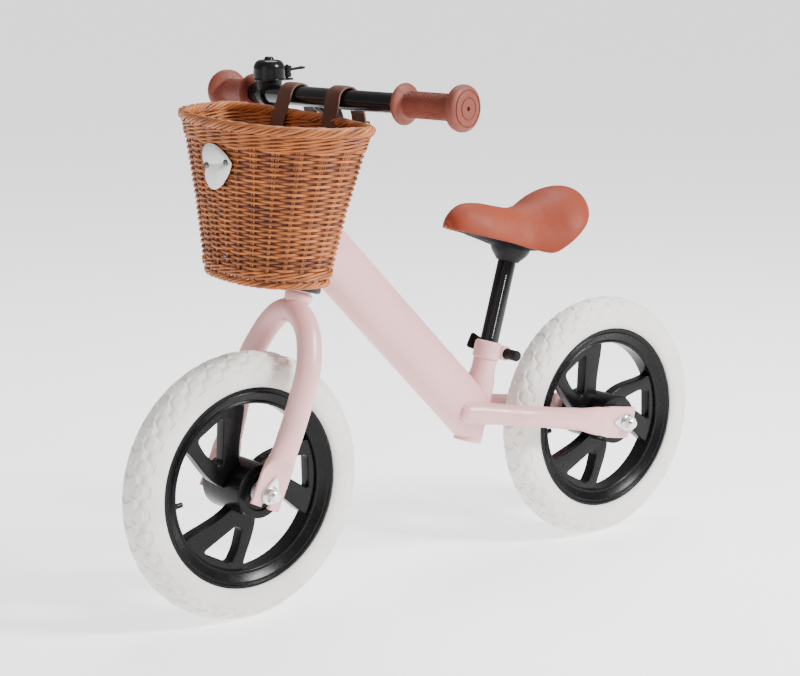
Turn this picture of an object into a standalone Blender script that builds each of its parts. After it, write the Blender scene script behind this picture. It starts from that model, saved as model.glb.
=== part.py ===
"""A child's balance bike: tube frame, fork, moulded wheels, saddle, bell and hanging wicker basket.

Metres. +X is the way the bike rides, +Y its left side, +Z up. The origin is on the ground, midway
between the two axles. Every mesh is written in those coordinates, and each moving piece hangs from
an empty that stands on its joint's axis.
"""

import math

import bmesh
import bpy
from mathutils import Matrix, Vector

for old in list(bpy.data.objects):
    bpy.data.objects.remove(old)

# ---------------------------------------------------------------- driving dimensions
GAP = 0.0003
TUBE_WALL = 0.0020

WHEELBASE = 0.539
WHEEL_RADIUS = 0.150
WHEEL_STEPS = 32
TYRE_HALF_WIDTH = 0.0222
BEAD_HALF_WIDTH = 0.0122
RIM_RADIUS = 0.1122
RIM_HALF_WIDTH = 0.0165
RIM_GROOVE_RADIUS = 0.1065
RIM_INNER_RADIUS = 0.0930
RIM_INNER_HALF_WIDTH = 0.0095
SPOKE_GROUPS = 3
FIRST_SPOKE_GROUP = 59.0
WEB_THICKNESS = 0.0150
HUB_RADIUS = 0.0300
HUB_HALF_LENGTH = 0.0350
BEARING_RADIUS = 0.0130
BEARING_WIDTH = 0.0080

AXLE_RADIUS = 0.0050
AXLE_HALF_LENGTH = 0.0665
DROPOUT_INNER_Y = 0.0473
DROPOUT_THICKNESS = 0.0045
DROPOUT_HALF_WIDTH = 0.0195
RETAINER_THICKNESS = 0.0015
RETAINER_REACH = 0.0175
NUT_HEIGHT = 0.0085

HEAD_ANGLE = math.radians(73.0)
CROWN = Vector((0.1905, 0.0, 0.3550))
HEAD_TUBE_RADIUS = 0.0180
HEAD_BORE = 0.0155
HEAD_TUBE_START = 0.0135
HEAD_TUBE_LENGTH = 0.0850
CUP_RADIUS = 0.0230
CUP_HEIGHT = 0.0100
STEERER_RADIUS = 0.0127
STEERER_BORE = 0.0112
STEERER_FOOT = -0.0320
STEERER_TOP = 0.1150
LEG_RADIUS = 0.0138
STEM_RADIUS = 0.0108
STEM_FOOT = 0.0750
STEM_BEND = 0.2000
STEM_BOLT_RADIUS = 0.0040
STEM_BOLT_HEAD = 0.1880

SEAT_ANGLE = math.radians(73.8)
SEAT_FOOT = Vector((-0.0547, 0.0, 0.1497))
SEAT_TUBE_LENGTH = 0.1180
SEAT_TUBE_RADIUS = 0.0170
SEAT_TUBE_NECK_RADIUS = 0.0143
SEAT_POST_RADIUS = 0.0110
SEAT_POST_START = 0.0480
SEAT_POST_END = 0.2240
BRACKET_START = 0.2197
BRACKET_TOP = 0.2455
COLLAR_RADIUS = 0.0163
COLLAR_START = 0.1010
COLLAR_END = 0.1220
SKEWER_HEIGHT = 0.1115
SKEWER_SETBACK = 0.0230
SKEWER_RADIUS = 0.0025
EAR_HALF_WIDTH = 0.0095
LEVER_TILT = math.radians(29.0)
LEVER_PIVOT_Y = -0.0165
STAY_RADIUS = 0.0127

DOWN_TUBE_ANGLE = math.radians(45.4)
DOWN_TUBE_TOP = Vector((0.1708, 0.0, 0.4157))
DOWN_TUBE_LENGTH = 0.3550
DOWN_TUBE_HALF_HEIGHT = 0.0312
DOWN_TUBE_HALF_WIDTH = 0.0240

BAR_CENTRE = Vector((0.1650, 0.0, 0.5695))
BAR_SIDES = 14
BAR_RADIUS = 0.0110
BAR_STRAIGHT = 0.0450
BAR_BEND_RADIUS = 0.0800
BAR_SWEEP = math.radians(10.0)
BAR_DROP = math.radians(1.05)
BAR_ROLL = math.radians(1.05)
BAR_HALF_WIDTH = 0.2130
GRIP_START = 0.1330
GRIP_END = 0.2210
BELL_Y = -0.1000
BELL_DOME_RADIUS = 0.0178
BELL_DOME_FOOT = 0.5835
BELL_DOME_TOP = 0.6052

BASKET_RIM_Z = 0.5555
BASKET_FOOT_Z = 0.3850
BASKET_FLOOR = 0.0070
BASKET_WALL = 0.0050
BASKET_INSET = 0.0050
BASKET_ROLL = -0.037
BASKET_PITCH = 0.015
BADGE_TURN = 0.16
BADGE_CENTRE = Vector((0.3098, 0.0240, 0.5075))
BADGE_SCREWS = ((-0.0177, 0.0020), (0.0171, 0.0020))
STRAP_PLACES = (("left", 0.0480, 0.0), ("right", -0.0390, 0.0045))
STRAP_WIDTH = 0.0240
STRAP_THICKNESS = 0.0022
STRAP_SLACK = 0.0018
STRAP_SLOT_Z = 0.5050

X_AXIS, Y_AXIS, Z_AXIS = Vector((1, 0, 0)), Vector((0, 1, 0)), Vector((0, 0, 1))
SIDES = (("left", 1), ("right", -1))
FRONT_AXLE = Vector((WHEELBASE / 2, 0, WHEEL_RADIUS))
REAR_AXLE = Vector((-WHEELBASE / 2, 0, WHEEL_RADIUS))
STEER_UP = Vector((-math.cos(HEAD_ANGLE), 0, math.sin(HEAD_ANGLE)))
STEER_FORWARD = Vector((math.sin(HEAD_ANGLE), 0, math.cos(HEAD_ANGLE)))
SEAT_UP = Vector((-math.cos(SEAT_ANGLE), 0, math.sin(SEAT_ANGLE)))
SEAT_FORWARD = Vector((math.sin(SEAT_ANGLE), 0, math.cos(SEAT_ANGLE)))
DOWN_TUBE_RUN = Vector((-math.cos(DOWN_TUBE_ANGLE), 0, -math.sin(DOWN_TUBE_ANGLE)))
SKEWER = SEAT_FOOT + SEAT_UP * SKEWER_HEIGHT - SEAT_FORWARD * SKEWER_SETBACK
LEVER_RUN = Vector((math.cos(LEVER_TILT), 0, math.sin(LEVER_TILT)))
LEVER_AXIS = Vector((-math.sin(LEVER_TILT), 0, math.cos(LEVER_TILT)))


# ---------------------------------------------------------------- materials
def material(name, colour, roughness, metallic=0.0):
    found = bpy.data.materials.get(name) or bpy.data.materials.new(name)
    found.use_nodes = True
    shader = found.node_tree.nodes["Principled BSDF"]
    shader.inputs["Base Color"].default_value = (*colour, 1.0)
    shader.inputs["Roughness"].default_value = roughness
    shader.inputs["Metallic"].default_value = metallic
    found.diffuse_color = (*colour, 1.0)
    return found


PINK = material("pink_powder_coat", (0.86, 0.65, 0.66), 0.45)
BLACK_PAINT = material("black_gloss_paint", (0.02, 0.02, 0.022), 0.25)
BLACK_PLASTIC = material("black_plastic", (0.025, 0.025, 0.027), 0.42)
WHITE_FOAM = material("white_tyre_foam", (0.86, 0.85, 0.81), 0.70)
TERRACOTTA = material("terracotta_rubber", (0.42, 0.13, 0.06), 0.55)
VINYL = material("terracotta_vinyl", (0.50, 0.16, 0.07), 0.42)
LEATHER = material("brown_leather", (0.10, 0.045, 0.032), 0.55)
WICKER = material("honey_wicker", (0.55, 0.25, 0.09), 0.50)
ZINC = material("zinc_plate", (0.72, 0.73, 0.72), 0.28, 1.0)
SILVER = material("brushed_aluminium", (0.78, 0.78, 0.79), 0.35, 1.0)


# ---------------------------------------------------------------- building blocks
def empty(name, place):
    pivot = bpy.data.objects.new(name, None)
    pivot.location = place
    pivot.empty_display_size = 0.03
    bpy.context.scene.collection.objects.link(pivot)
    return pivot


def on_parent(obj, parent):
    bpy.context.view_layer.update()
    obj.parent = parent
    obj.matrix_parent_inverse = parent.matrix_world.inverted()


def add(name, shape, look, parent=None):
    """Turns a bmesh into a smooth-shaded object with one material."""
    bmesh.ops.remove_doubles(shape, verts=shape.verts, dist=1e-7)
    bmesh.ops.recalc_face_normals(shape, faces=shape.faces)
    mesh = bpy.data.meshes.new(name)
    shape.to_mesh(mesh)
    shape.free()
    mesh.shade_smooth()
    mesh.set_sharp_from_angle(angle=math.radians(35))
    obj = bpy.data.objects.new(name, mesh)
    bpy.context.scene.collection.objects.link(obj)
    if look:
        mesh.materials.append(look)
    if parent:
        on_parent(obj, parent)
    return obj


def boolean(obj, shape, operation):
    """Cuts or joins a bmesh with an exact Boolean modifier. The helper object stays out of the model."""
    other = add(f"{obj.name}_{operation.lower()}", shape, None)
    other.hide_render = True
    other.display_type = "WIRE"
    change = obj.modifiers.new(operation.lower(), "BOOLEAN")
    change.operation = operation
    change.solver = "EXACT"
    change.object = other


def cut(obj, *shapes):
    for shape in shapes:
        boolean(obj, shape, "DIFFERENCE")


def join(obj, *shapes):
    for shape in shapes:
        boolean(obj, shape, "UNION")


def skin(rings, capped=True):
    """A closed skin over rings of equally many points. Without caps, its last ring meets its first."""
    shape = bmesh.new()
    loops = [[shape.verts.new(point) for point in ring] for ring in rings]
    count = len(loops[0])
    pairs = list(zip(loops, loops[1:]))
    if capped:
        shape.faces.new(loops[0])
        shape.faces.new(loops[-1])
    else:
        pairs.append((loops[-1], loops[0]))
    for lower, upper in pairs:
        for i in range(count):
            j = (i + 1) % count
            shape.faces.new((lower[i], lower[j], upper[j], upper[i]))
    return shape


def open_tube(outer, inner):
    """A tube's wall, open at both ends."""
    return skin([*outer, *inner[::-1]], capped=False)


def cup(outer, inner):
    """A wall that is open at its first rings and closed at its last."""
    return skin([*outer[::-1], *inner])


def turned(profile, centre, axis, steps=16):
    """Spins a closed outline of (radius, distance) points about an axis."""
    axis = Vector(axis).normalized()
    side = X_AXIS - axis * axis.dot(X_AXIS)
    if side.length < 0.4:
        side = Z_AXIS - axis * axis.dot(Z_AXIS)
    side.normalize()
    other = axis.cross(side)
    shape = bmesh.new()
    rings = []
    for radius, along in profile:
        middle = Vector(centre) + axis * along
        if radius <= 0:
            rings.append([shape.verts.new(middle)] * steps)
            continue
        turns = [2 * math.pi * i / steps for i in range(steps)]
        rings.append(
            [shape.verts.new(middle + radius * (math.cos(t) * side + math.sin(t) * other)) for t in turns]
        )
    for lower, upper in zip(rings, rings[1:] + rings[:1]):
        for i in range(steps):
            j = (i + 1) % steps
            corners = list(dict.fromkeys((lower[i], lower[j], upper[j], upper[i])))
            if len(corners) > 2:
                shape.faces.new(corners)
    return shape


def rod(centre, axis, radius, start, end, steps=16, chamfer=0.0):
    """A solid cylinder between two distances along an axis."""
    if not chamfer:
        return turned([(0, start), (radius, start), (radius, end), (0, end)], centre, axis, steps)
    profile = [(0, start), (radius - chamfer, start), (radius, start + chamfer)]
    profile += [(radius, end - chamfer), (radius - chamfer, end), (0, end)]
    return turned(profile, centre, axis, steps)


def tube(centre, axis, outer, inner, start, end, steps=16):
    return turned([(outer, start), (outer, end), (inner, end), (inner, start)], centre, axis, steps)


def oval(centre, across, up, half_width, half_height, power=2.0, count=16):
    """A ring of points on a superellipse: power 2 is an ellipse, and more is squarer."""
    points = []
    for i in range(count):
        turn = 2 * math.pi * (i + 0.5) / count
        c, s = math.cos(turn), math.sin(turn)
        x = math.copysign(abs(c) ** (2 / power), c) * half_width
        y = math.copysign(abs(s) ** (2 / power), s) * half_height
        points.append(Vector(centre) + x * across + y * up)
    return points


def smooth_path(points, steps):
    """Catmull-Rom curve through the points, with this many spans between each two."""
    points = [Vector(p) for p in points]
    ends = [2 * points[0] - points[1], *points, 2 * points[-1] - points[-2]]
    path = []
    for a, b, c, d in zip(ends, ends[1:], ends[2:], ends[3:]):
        for i in range(steps):
            t = i / steps
            bend = (2 * a - 5 * b + 4 * c - d) * t**2 + (3 * b - a - 3 * c + d) * t**3
            path.append(0.5 * (2 * b + (c - a) * t + bend))
    return [*path, points[-1]]


def tangents(path):
    ahead = path[1:] + [2 * path[-1] - path[-2]]
    behind = [2 * path[0] - path[1]] + path[:-1]
    return [(a - b).normalized() for a, b in zip(ahead, behind)]


def sweep(path, radius, count=16):
    """Rings of a round tube that follows a path."""
    rings = []
    for place, run in zip(path, tangents(path)):
        across = Y_AXIS - run * run.dot(Y_AXIS)
        if across.length < 0.4:
            across = X_AXIS - run * run.dot(X_AXIS)
        across.normalize()
        rings.append(oval(place, across, run.cross(across), radius, radius, 2.0, count))
    return rings


def slab(outline, point, across, up, thickness):
    """Extrudes a flat outline, given in two directions from a point, to both sides of its plane."""
    out = across.cross(up).normalized() * thickness / 2
    flat = [Vector(point) + a * across + b * up for a, b in outline]
    return skin([[p + side * out for p in flat] for side in (-1, 1)])


def half_space(point, outward, reach=0.25):
    """A block that fills what lies beyond a plane, for cutting an end to it."""
    across = outward.orthogonal().normalized()
    up = outward.cross(across)
    corners = ((-1, -1), (1, -1), (1, 1), (-1, 1))
    near = [point + reach * (a * across + b * up) for a, b in corners]
    return skin([near, [p + outward * reach for p in near]])


def arc(radius, start, end, count, centre=(0.0, 0.0)):
    """Points on a flat arc, in degrees."""
    turns = [math.radians(start + (end - start) * i / (count - 1)) for i in range(count)]
    return [(centre[0] + radius * math.cos(t), centre[1] + radius * math.sin(t)) for t in turns]


def polar(radius, degrees):
    return (radius * math.cos(math.radians(degrees)), radius * math.sin(math.radians(degrees)))


def between(first, last, t):
    return [a + (b - a) * t for a, b in zip(first, last)]


# ---------------------------------------------------------------- joint axes
steering = empty("steering_axis", CROWN)
front_spin = empty("front_wheel_axis", FRONT_AXLE)
rear_spin = empty("rear_wheel_axis", REAR_AXLE)
seat_slide = empty("seat_slide", SEAT_FOOT + SEAT_UP * SEAT_TUBE_LENGTH)
lever_hinge = empty("clamp_lever_axis", SKEWER + Y_AXIS * LEVER_PIVOT_Y)
on_parent(front_spin, steering)


# ---------------------------------------------------------------- wheels
TYRE_PROFILE = [
    (RIM_RADIUS + GAP, BEAD_HALF_WIDTH), (RIM_RADIUS + GAP, 0.0178), (0.1185, 0.0214),
    (0.1270, TYRE_HALF_WIDTH),
    (0.1365, 0.0200), (0.1440, 0.0148), (0.1486, 0.0078), (WHEEL_RADIUS, 0.0),
]


def tyre_shape(axle):
    """A foam tyre whose bead sits in the rim's groove."""
    mirrored = [(radius, -along) for radius, along in TYRE_PROFILE[-2::-1]]
    bead = RIM_GROOVE_RADIUS + GAP
    profile = [(bead, BEAD_HALF_WIDTH), *TYRE_PROFILE, *mirrored, (bead, -BEAD_HALF_WIDTH)]
    return turned(profile, axle, Y_AXIS, WHEEL_STEPS)


def rim_ring(axle):
    """The barrel that the tyre sits on, with a groove for its bead and a dished inner side."""
    groove = BEAD_HALF_WIDTH + 0.0004
    half = [
        (RIM_GROOVE_RADIUS, groove), (RIM_RADIUS, groove), (RIM_RADIUS, RIM_HALF_WIDTH),
        (0.1060, RIM_HALF_WIDTH),
        (0.0965, RIM_INNER_HALF_WIDTH + 0.0005), (RIM_INNER_RADIUS, RIM_INNER_HALF_WIDTH),
    ]
    mirrored = [(radius, -along) for radius, along in half[::-1]]
    return turned([*half, *mirrored], axle, Y_AXIS, WHEEL_STEPS)


def swirl(inner, outer, count):
    """Points on an arm's edge, whose angle changes fastest near the hub."""
    points = []
    for i in range(count):
        t = i / (count - 1)
        radius, _ = between(inner, outer, t)
        _, degrees = between(inner, outer, math.sin(t * math.pi / 2))
        points.append(polar(radius, degrees))
    return points


def spoke_group(axle, middle):
    """A pair of arms that leave the hub together and open towards the rim."""
    reach = RIM_INNER_RADIUS + 0.0040
    foot = HUB_RADIUS - 0.0040
    leading = swirl((foot, middle + 14), (reach, middle + 31), 5)
    trailing = swirl((foot, middle - 56), (reach, middle - 25), 5)
    rim_side = arc(reach, middle + 31, middle - 25, 6)[1:-1]
    return slab([*leading, *rim_side, *trailing[::-1]], axle, X_AXIS, Z_AXIS, WEB_THICKNESS)


def spoke_window(axle, middle):
    """The window between the two arms."""
    outer = arc(0.0865, middle + 12, middle - 12, 4)
    outline = [*outer, polar(0.070, middle - 17.5), polar(0.047, middle - 20), polar(0.045, middle - 12)]
    return slab(outline, axle, X_AXIS, Z_AXIS, WEB_THICKNESS * 2)


def make_wheel(side, axle, parent):
    add(f"{side}_tyre", tyre_shape(axle), WHITE_FOAM, parent)
    rim = add(f"{side}_rim", rim_ring(axle), BLACK_PLASTIC, parent)
    groups = [FIRST_SPOKE_GROUP + 360 * i / SPOKE_GROUPS for i in range(SPOKE_GROUPS)]
    join(rim, *[spoke_group(axle, middle) for middle in groups])
    join(rim, rod(axle, Y_AXIS, HUB_RADIUS, -HUB_HALF_LENGTH, HUB_HALF_LENGTH, 24))
    cut(rim, *[spoke_window(axle, middle) for middle in groups])
    seat, far = HUB_HALF_LENGTH - BEARING_WIDTH, HUB_HALF_LENGTH + 0.0100
    bore, clear = BEARING_RADIUS + GAP, AXLE_RADIUS + 0.0020
    half = [(bore, far), (bore, seat), (clear, seat)]
    stepped = [(0, -far), *[(radius, -along) for radius, along in half], *half[::-1], (0, far)]
    cut(rim, turned(stepped, axle, Y_AXIS, 16))
    for name, sign in SIDES:
        ring = tube(
            axle, Y_AXIS * sign, BEARING_RADIUS, AXLE_RADIUS + GAP, seat + GAP, HUB_HALF_LENGTH - 0.0005
        )
        add(f"{side}_{name}_bearing", ring, ZINC, parent)


# ---------------------------------------------------------------- frame tubes
def down_tube_rings(shrink):
    up = DOWN_TUBE_RUN.cross(Y_AXIS)
    width, height = DOWN_TUBE_HALF_WIDTH - shrink, DOWN_TUBE_HALF_HEIGHT - shrink
    ends = (DOWN_TUBE_TOP, DOWN_TUBE_TOP + DOWN_TUBE_RUN * DOWN_TUBE_LENGTH)
    return [oval(end, Y_AXIS, up, width, height, 2.15, 20) for end in ends]


def seat_tube_profile(grow):
    radius, neck = SEAT_TUBE_RADIUS + grow, SEAT_TUBE_NECK_RADIUS + grow
    return [(radius, 0.0), (radius, 0.0720), (neck, 0.0880), (neck, SEAT_TUBE_LENGTH)]


def make_head_tube():
    end = HEAD_TUBE_START + HEAD_TUBE_LENGTH
    add("head_tube", tube(CROWN, STEER_UP, HEAD_TUBE_RADIUS, HEAD_BORE, HEAD_TUBE_START, end, 24), PINK)


def make_seat_tube():
    bore = SEAT_POST_RADIUS + GAP
    profile = [*seat_tube_profile(0.0), (bore, SEAT_TUBE_LENGTH), (bore, 0.0)]
    add("seat_tube", turned(profile, SEAT_FOOT, SEAT_UP, 24), PINK)


def make_down_tube():
    """Mitred to the head tube and to the seat tube, and cut square at the seat tube's foot."""
    down = add("down_tube", open_tube(down_tube_rings(0), down_tube_rings(TUBE_WALL)), PINK)
    outside = seat_tube_profile(GAP)
    envelope = [(0, -0.04), (outside[0][0], -0.04), *outside[1:3], (outside[3][0], 0.2), (0, 0.2)]
    cut(down, rod(CROWN, STEER_UP, HEAD_TUBE_RADIUS + GAP, -0.05, 0.2, 24))
    cut(down, turned(envelope, SEAT_FOOT, SEAT_UP, 24))
    cut(down, half_space(SEAT_FOOT + SEAT_FORWARD * 0.0015, -SEAT_FORWARD))
    cut(down, half_space(SEAT_FOOT, -SEAT_UP))
    cut(down, half_space(CROWN, STEER_FORWARD))


# ---------------------------------------------------------------- tubes that are pressed flat at the axles
FLAT = (DROPOUT_THICKNESS / 2, DROPOUT_HALF_WIDTH, 7.0)
STAY_ROUND = (STAY_RADIUS, STAY_RADIUS, 2.0)
STAY_POINTS = [
    ((-0.0400, 0.0200, 0.1905), STAY_ROUND), ((-0.0800, 0.0300, 0.1840), STAY_ROUND),
    ((-0.1120, 0.0415, 0.1790), STAY_ROUND), ((-0.1500, 0.0462, 0.1725), STAY_ROUND),
    ((-0.1900, 0.0480, 0.1650), (0.0120, 0.0138, 2.0)), ((-0.2250, 0.0490, 0.1575), (0.0058, 0.0175, 2.6)),
    ((-0.2480, 0.0495, 0.1530), FLAT), ((-0.2820, 0.0495, 0.1475), FLAT),
]
LEG_ROUND = (LEG_RADIUS, LEG_RADIUS, 2.0)
LEG_POINTS = [
    ((0.1965, 0.0060, 0.3400), LEG_ROUND), ((0.2030, 0.0230, 0.3300), LEG_ROUND),
    ((0.2088, 0.0412, 0.3100), LEG_ROUND), ((0.2180, 0.0540, 0.2820), LEG_ROUND),
    ((0.2298, 0.0560, 0.2500), LEG_ROUND), ((0.2401, 0.0545, 0.2200), LEG_ROUND),
    ((0.2504, 0.0520, 0.1920), (0.0110, 0.0152, 2.1)), ((0.2605, 0.0495, 0.1680), FLAT),
    ((0.2755, 0.0495, 0.1360), FLAT),
]
PATH_STEPS = 2


def pressed_tube_rings(points, sign, shrink=0.0):
    """Rings of a tube along its points, each with its half width, half height and squareness there."""
    centres = smooth_path([(x, y * sign, z) for (x, y, z), _ in points], PATH_STEPS)
    sections = [section for _, section in points]
    sizes = []
    for first, last in zip(sections, sections[1:]):
        sizes += [between(first, last, i / PATH_STEPS) for i in range(PATH_STEPS)]
    sizes.append(sections[-1])
    rings = []
    for place, run, (width, height, power) in zip(centres, tangents(centres), sizes):
        sideways = run.y if width > 0.008 else 0.0
        run = Vector((run.x, sideways, run.z)).normalized()
        across = (Y_AXIS - run * run.dot(Y_AXIS)).normalized()
        rings.append(oval(place, across, run.cross(across), width - shrink, height - shrink, power, 12))
    return rings


def pressed_tube(points, sign, open_points):
    """The tube as a wall: hollow from its first point over the open ones, then solid and flat."""
    inner = pressed_tube_rings(points, sign, TUBE_WALL)[: open_points * PATH_STEPS]
    return cup(pressed_tube_rings(points, sign), inner)


def end_run(points):
    run = Vector(points[-1][0]) - Vector(points[-2][0])
    return Vector((run.x, 0, run.z)).normalized()


def cut_dropout(obj, axle, run, sign):
    """An open-ended slot for the axle, and the small hole that the retainer's tab hooks into."""
    radius = AXLE_RADIUS + GAP
    middle = axle + Y_AXIS * sign * (DROPOUT_INNER_Y + DROPOUT_THICKNESS / 2)
    outline = [*arc(radius, 90, 270, 7), (0.05, -radius), (0.05, radius)]
    cut(obj, slab(outline, middle, run, Y_AXIS.cross(run), 0.012))
    cut(obj, rod(middle - run * RETAINER_REACH, Y_AXIS, 0.0024, -0.006, 0.006, 8))


def make_stays():
    run = end_run(STAY_POINTS)
    corner = REAR_AXLE + run * 0.0100 - Z_AXIS * 0.0115
    for name, sign in SIDES:
        stay = add(f"{name}_chainstay", pressed_tube(STAY_POINTS, sign, 4), PINK)
        cut(stay, rod(SEAT_FOOT, SEAT_UP, SEAT_TUBE_RADIUS + GAP, -0.1, 0.3, 24))
        cut(stay, skin(down_tube_rings(-GAP)))
        cut_dropout(stay, REAR_AXLE, run, sign)
        cut(stay, half_space(corner, Vector((-0.62, 0, -0.78)).normalized()))


def make_fork():
    """A steerer with its crown ring, and two legs mitred to it that meet on the centre plane."""
    ring = [(0.0150, -0.0080), (0.0156, -0.0040), (0.0156, 0.0000), (STEERER_RADIUS, 0.0020)]
    steerer = [
        (STEERER_RADIUS, STEERER_FOOT), (STEERER_RADIUS, -0.0095), *ring, (STEERER_RADIUS, STEERER_TOP),
               (STEERER_BORE, STEERER_TOP), (STEERER_BORE, STEERER_FOOT)]
    add("fork_steerer", turned(steerer, CROWN, STEER_UP, 20), PINK, steering)
    run = end_run(LEG_POINTS)
    outside = [(r + GAP, s) for r, s in [(STEERER_RADIUS, -0.0600), (STEERER_RADIUS, -0.0095), *ring]]
    for name, sign in SIDES:
        leg = add(f"fork_{name}_leg", pressed_tube(LEG_POINTS, sign, 5), PINK, steering)
        cut(leg, turned([(0, -0.06), *outside, (outside[0][0], 0.1), (0, 0.1)], CROWN, STEER_UP, 20))
        cut(leg, half_space(Y_AXIS * sign * GAP / 2, Y_AXIS * -sign, 0.5))
        cut(leg, half_space(CROWN - STEER_UP * 0.0060, STEER_UP))
        cut_dropout(leg, FRONT_AXLE, run, sign)


def make_axle_set(side, axle, parent, points):
    """Axle, spacers, tabbed retaining washers and nuts, from the hub outwards."""
    ends = AXLE_HALF_LENGTH
    add(f"{side}_axle", rod(axle, Y_AXIS, AXLE_RADIUS, -ends, ends, 12, 0.0012), ZINC, parent)
    clear = AXLE_RADIUS + GAP
    washer_start = DROPOUT_INNER_Y + DROPOUT_THICKNESS + GAP
    washer_end = washer_start + RETAINER_THICKNESS
    tab = -end_run(points)
    for name, sign in SIDES:
        out = Y_AXIS * sign
        spacer = [(0.0085, HUB_HALF_LENGTH + GAP), (0.0085, 0.0430), (0.0105, 0.0445)]
        spacer += [
            (0.0105, DROPOUT_INNER_Y - GAP), (clear, DROPOUT_INNER_Y - GAP),
            (clear, HUB_HALF_LENGTH + GAP)
        ]
        add(f"{side}_{name}_spacer", turned(spacer, axle, out, 12), ZINC, parent)
        outline = [*arc(0.0105, 65, 295, 10), *arc(0.0032, -60, 60, 4, centre=(RETAINER_REACH, 0.0))]
        middle = axle + out * (washer_start + washer_end) / 2
        plate = slab(outline, middle, tab, out.cross(tab), RETAINER_THICKNESS)
        washer = add(f"{side}_{name}_retainer", plate, ZINC, parent)
        cut(washer, rod(axle, out, clear, 0.04, 0.07, 12))
        foot = washer_end + GAP
        nut = [
            (0.0098, foot), (0.0098, foot + 0.0015), (0.0080, foot + 0.0015),
            (0.0080, foot + NUT_HEIGHT)
        ]
        nut += [(clear, foot + NUT_HEIGHT), (clear, foot)]
        add(f"{side}_{name}_nut", turned(nut, axle, out, 12), ZINC, parent)


# ---------------------------------------------------------------- headset and stem
def make_headset():
    """Pressed cups, a bearing in each cup, and the locknut that clamps the steerer."""
    bore = STEERER_RADIUS + 0.0006
    seat = bore + 0.0050
    ends = (("lower", HEAD_TUBE_START, -1), ("upper", HEAD_TUBE_START + HEAD_TUBE_LENGTH, 1))
    for name, base, out in ends:
        foot, up = CROWN + STEER_UP * base, STEER_UP * out
        outline = [
            (CUP_RADIUS, GAP), (CUP_RADIUS, 0.0080), (CUP_RADIUS - 0.0020, CUP_HEIGHT),
            (seat, CUP_HEIGHT),
                   (seat, 0.0040), (bore, 0.0040), (bore, GAP)]
        add(f"{name}_headset_cup", turned(outline, foot, up, 16), BLACK_PLASTIC)
        add(f"{name}_headset_bearing", tube(foot, up, seat - GAP, bore, 0.0043, CUP_HEIGHT - 0.0004), ZINC)
    start = HEAD_TUBE_START + HEAD_TUBE_LENGTH + CUP_HEIGHT + GAP
    nut = [
        (0.0190, start), (0.0190, start + 0.0050), (0.0160, start + 0.0075), (bore, start + 0.0075),
        (bore, start)
    ]
    add("headset_locknut", turned(nut, CROWN, STEER_UP, 12), BLACK_PLASTIC, steering)


def handlebar_path():
    """Straight in the middle, then bent back and a little down on each side, and a degree out of level."""
    drop = Vector((0, 0, -math.tan(BAR_DROP)))
    half = [Vector((0, BAR_STRAIGHT, 0))]
    for i in (1, 2, 3):
        turn = BAR_SWEEP * i / 3
        bend = Vector((math.cos(turn) - 1, math.sin(turn), 0)) * BAR_BEND_RADIUS
        half.append(half[0] + bend + drop * bend.y)
    run = Vector((-math.tan(BAR_SWEEP), 1, 0)) + drop
    half.append(half[-1] + run * (BAR_HALF_WIDTH - half[-1].y))
    path = [Vector((p.x, -p.y, p.z)) for p in half[::-1]] + half
    level = Matrix.Rotation(BAR_ROLL, 3, "X")
    return [BAR_CENTRE + level @ p for p in path]


def on_bar(sideways):
    """The point of the bar's centre line at this distance to one side, and the direction it runs out in."""
    path = handlebar_path()
    start, end = next((a, b) for a, b in zip(path, path[1:]) if a.y <= sideways <= b.y)
    place = start.lerp(end, (sideways - start.y) / (end.y - start.y))
    return place, (end - start).normalized() * math.copysign(1, sideways)


def stem_path():
    """Up the steering axis, then bent forwards to the bar."""
    foot = CROWN + STEER_UP * (STEM_FOOT - 0.03)
    corner = CROWN + STEER_UP * STEM_BEND
    bar = Vector((BAR_CENTRE.x, 0, BAR_CENTRE.z))
    start, end = corner - STEER_UP * 0.0350, corner.lerp(bar, 0.62)
    bend = []
    for i in range(7):
        t = i / 6
        bend.append(start * (1 - t) ** 2 + corner * 2 * t * (1 - t) + end * t**2)
    return [foot, *bend, bar]


def make_stem():
    """A quill stem: a bolt from its top draws a slanted wedge up against its slanted foot."""
    slant = (STEER_UP + STEER_FORWARD).normalized()
    foot = CROWN + STEER_UP * STEM_FOOT
    stem = add("stem", skin(sweep(stem_path(), STEM_RADIUS, 16)), BLACK_PAINT, steering)
    cut(stem, skin(sweep(handlebar_path(), BAR_RADIUS + GAP, BAR_SIDES)), half_space(foot, -slant))
    cut(stem, rod(CROWN, STEER_UP, 0.0085, 0.0, STEM_BEND - 0.0450, 16))
    cut(stem, rod(CROWN, STEER_UP, STEM_BOLT_RADIUS + GAP, 0.0, STEM_BEND, 12))
    cut(stem, rod(CROWN, STEER_UP, 0.0074, STEM_BOLT_HEAD - GAP, STEM_BEND + 0.05, 16))
    wedge = add(
        "stem_wedge", rod(CROWN, STEER_UP, STEM_RADIUS - GAP, STEM_FOOT - 0.0250, 0.1, 20), ZINC,
        steering
    )
    cut(
        wedge, half_space(foot - slant * GAP, slant),
        rod(CROWN, STEER_UP, STEM_BOLT_RADIUS + GAP, 0.0, 0.2, 12)
    )
    head_top, socket = STEM_BOLT_HEAD + 0.0070, 0.0030
    bolt = [
        (0, STEM_FOOT - 0.0270), (STEM_BOLT_RADIUS, STEM_FOOT - 0.0270),
        (STEM_BOLT_RADIUS, STEM_BOLT_HEAD),
            (0.0070, STEM_BOLT_HEAD), (0.0070, head_top), (socket, head_top), (socket, head_top - 0.0040),
            (0, head_top - 0.0040)]
    add("stem_bolt", turned(bolt, CROWN, STEER_UP, 12), ZINC, steering)


def make_handlebar():
    path = handlebar_path()
    wall = open_tube(sweep(path, BAR_RADIUS, BAR_SIDES), sweep(path, BAR_RADIUS - TUBE_WALL, BAR_SIDES))
    add("handlebar", wall, BLACK_PAINT, steering)


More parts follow.
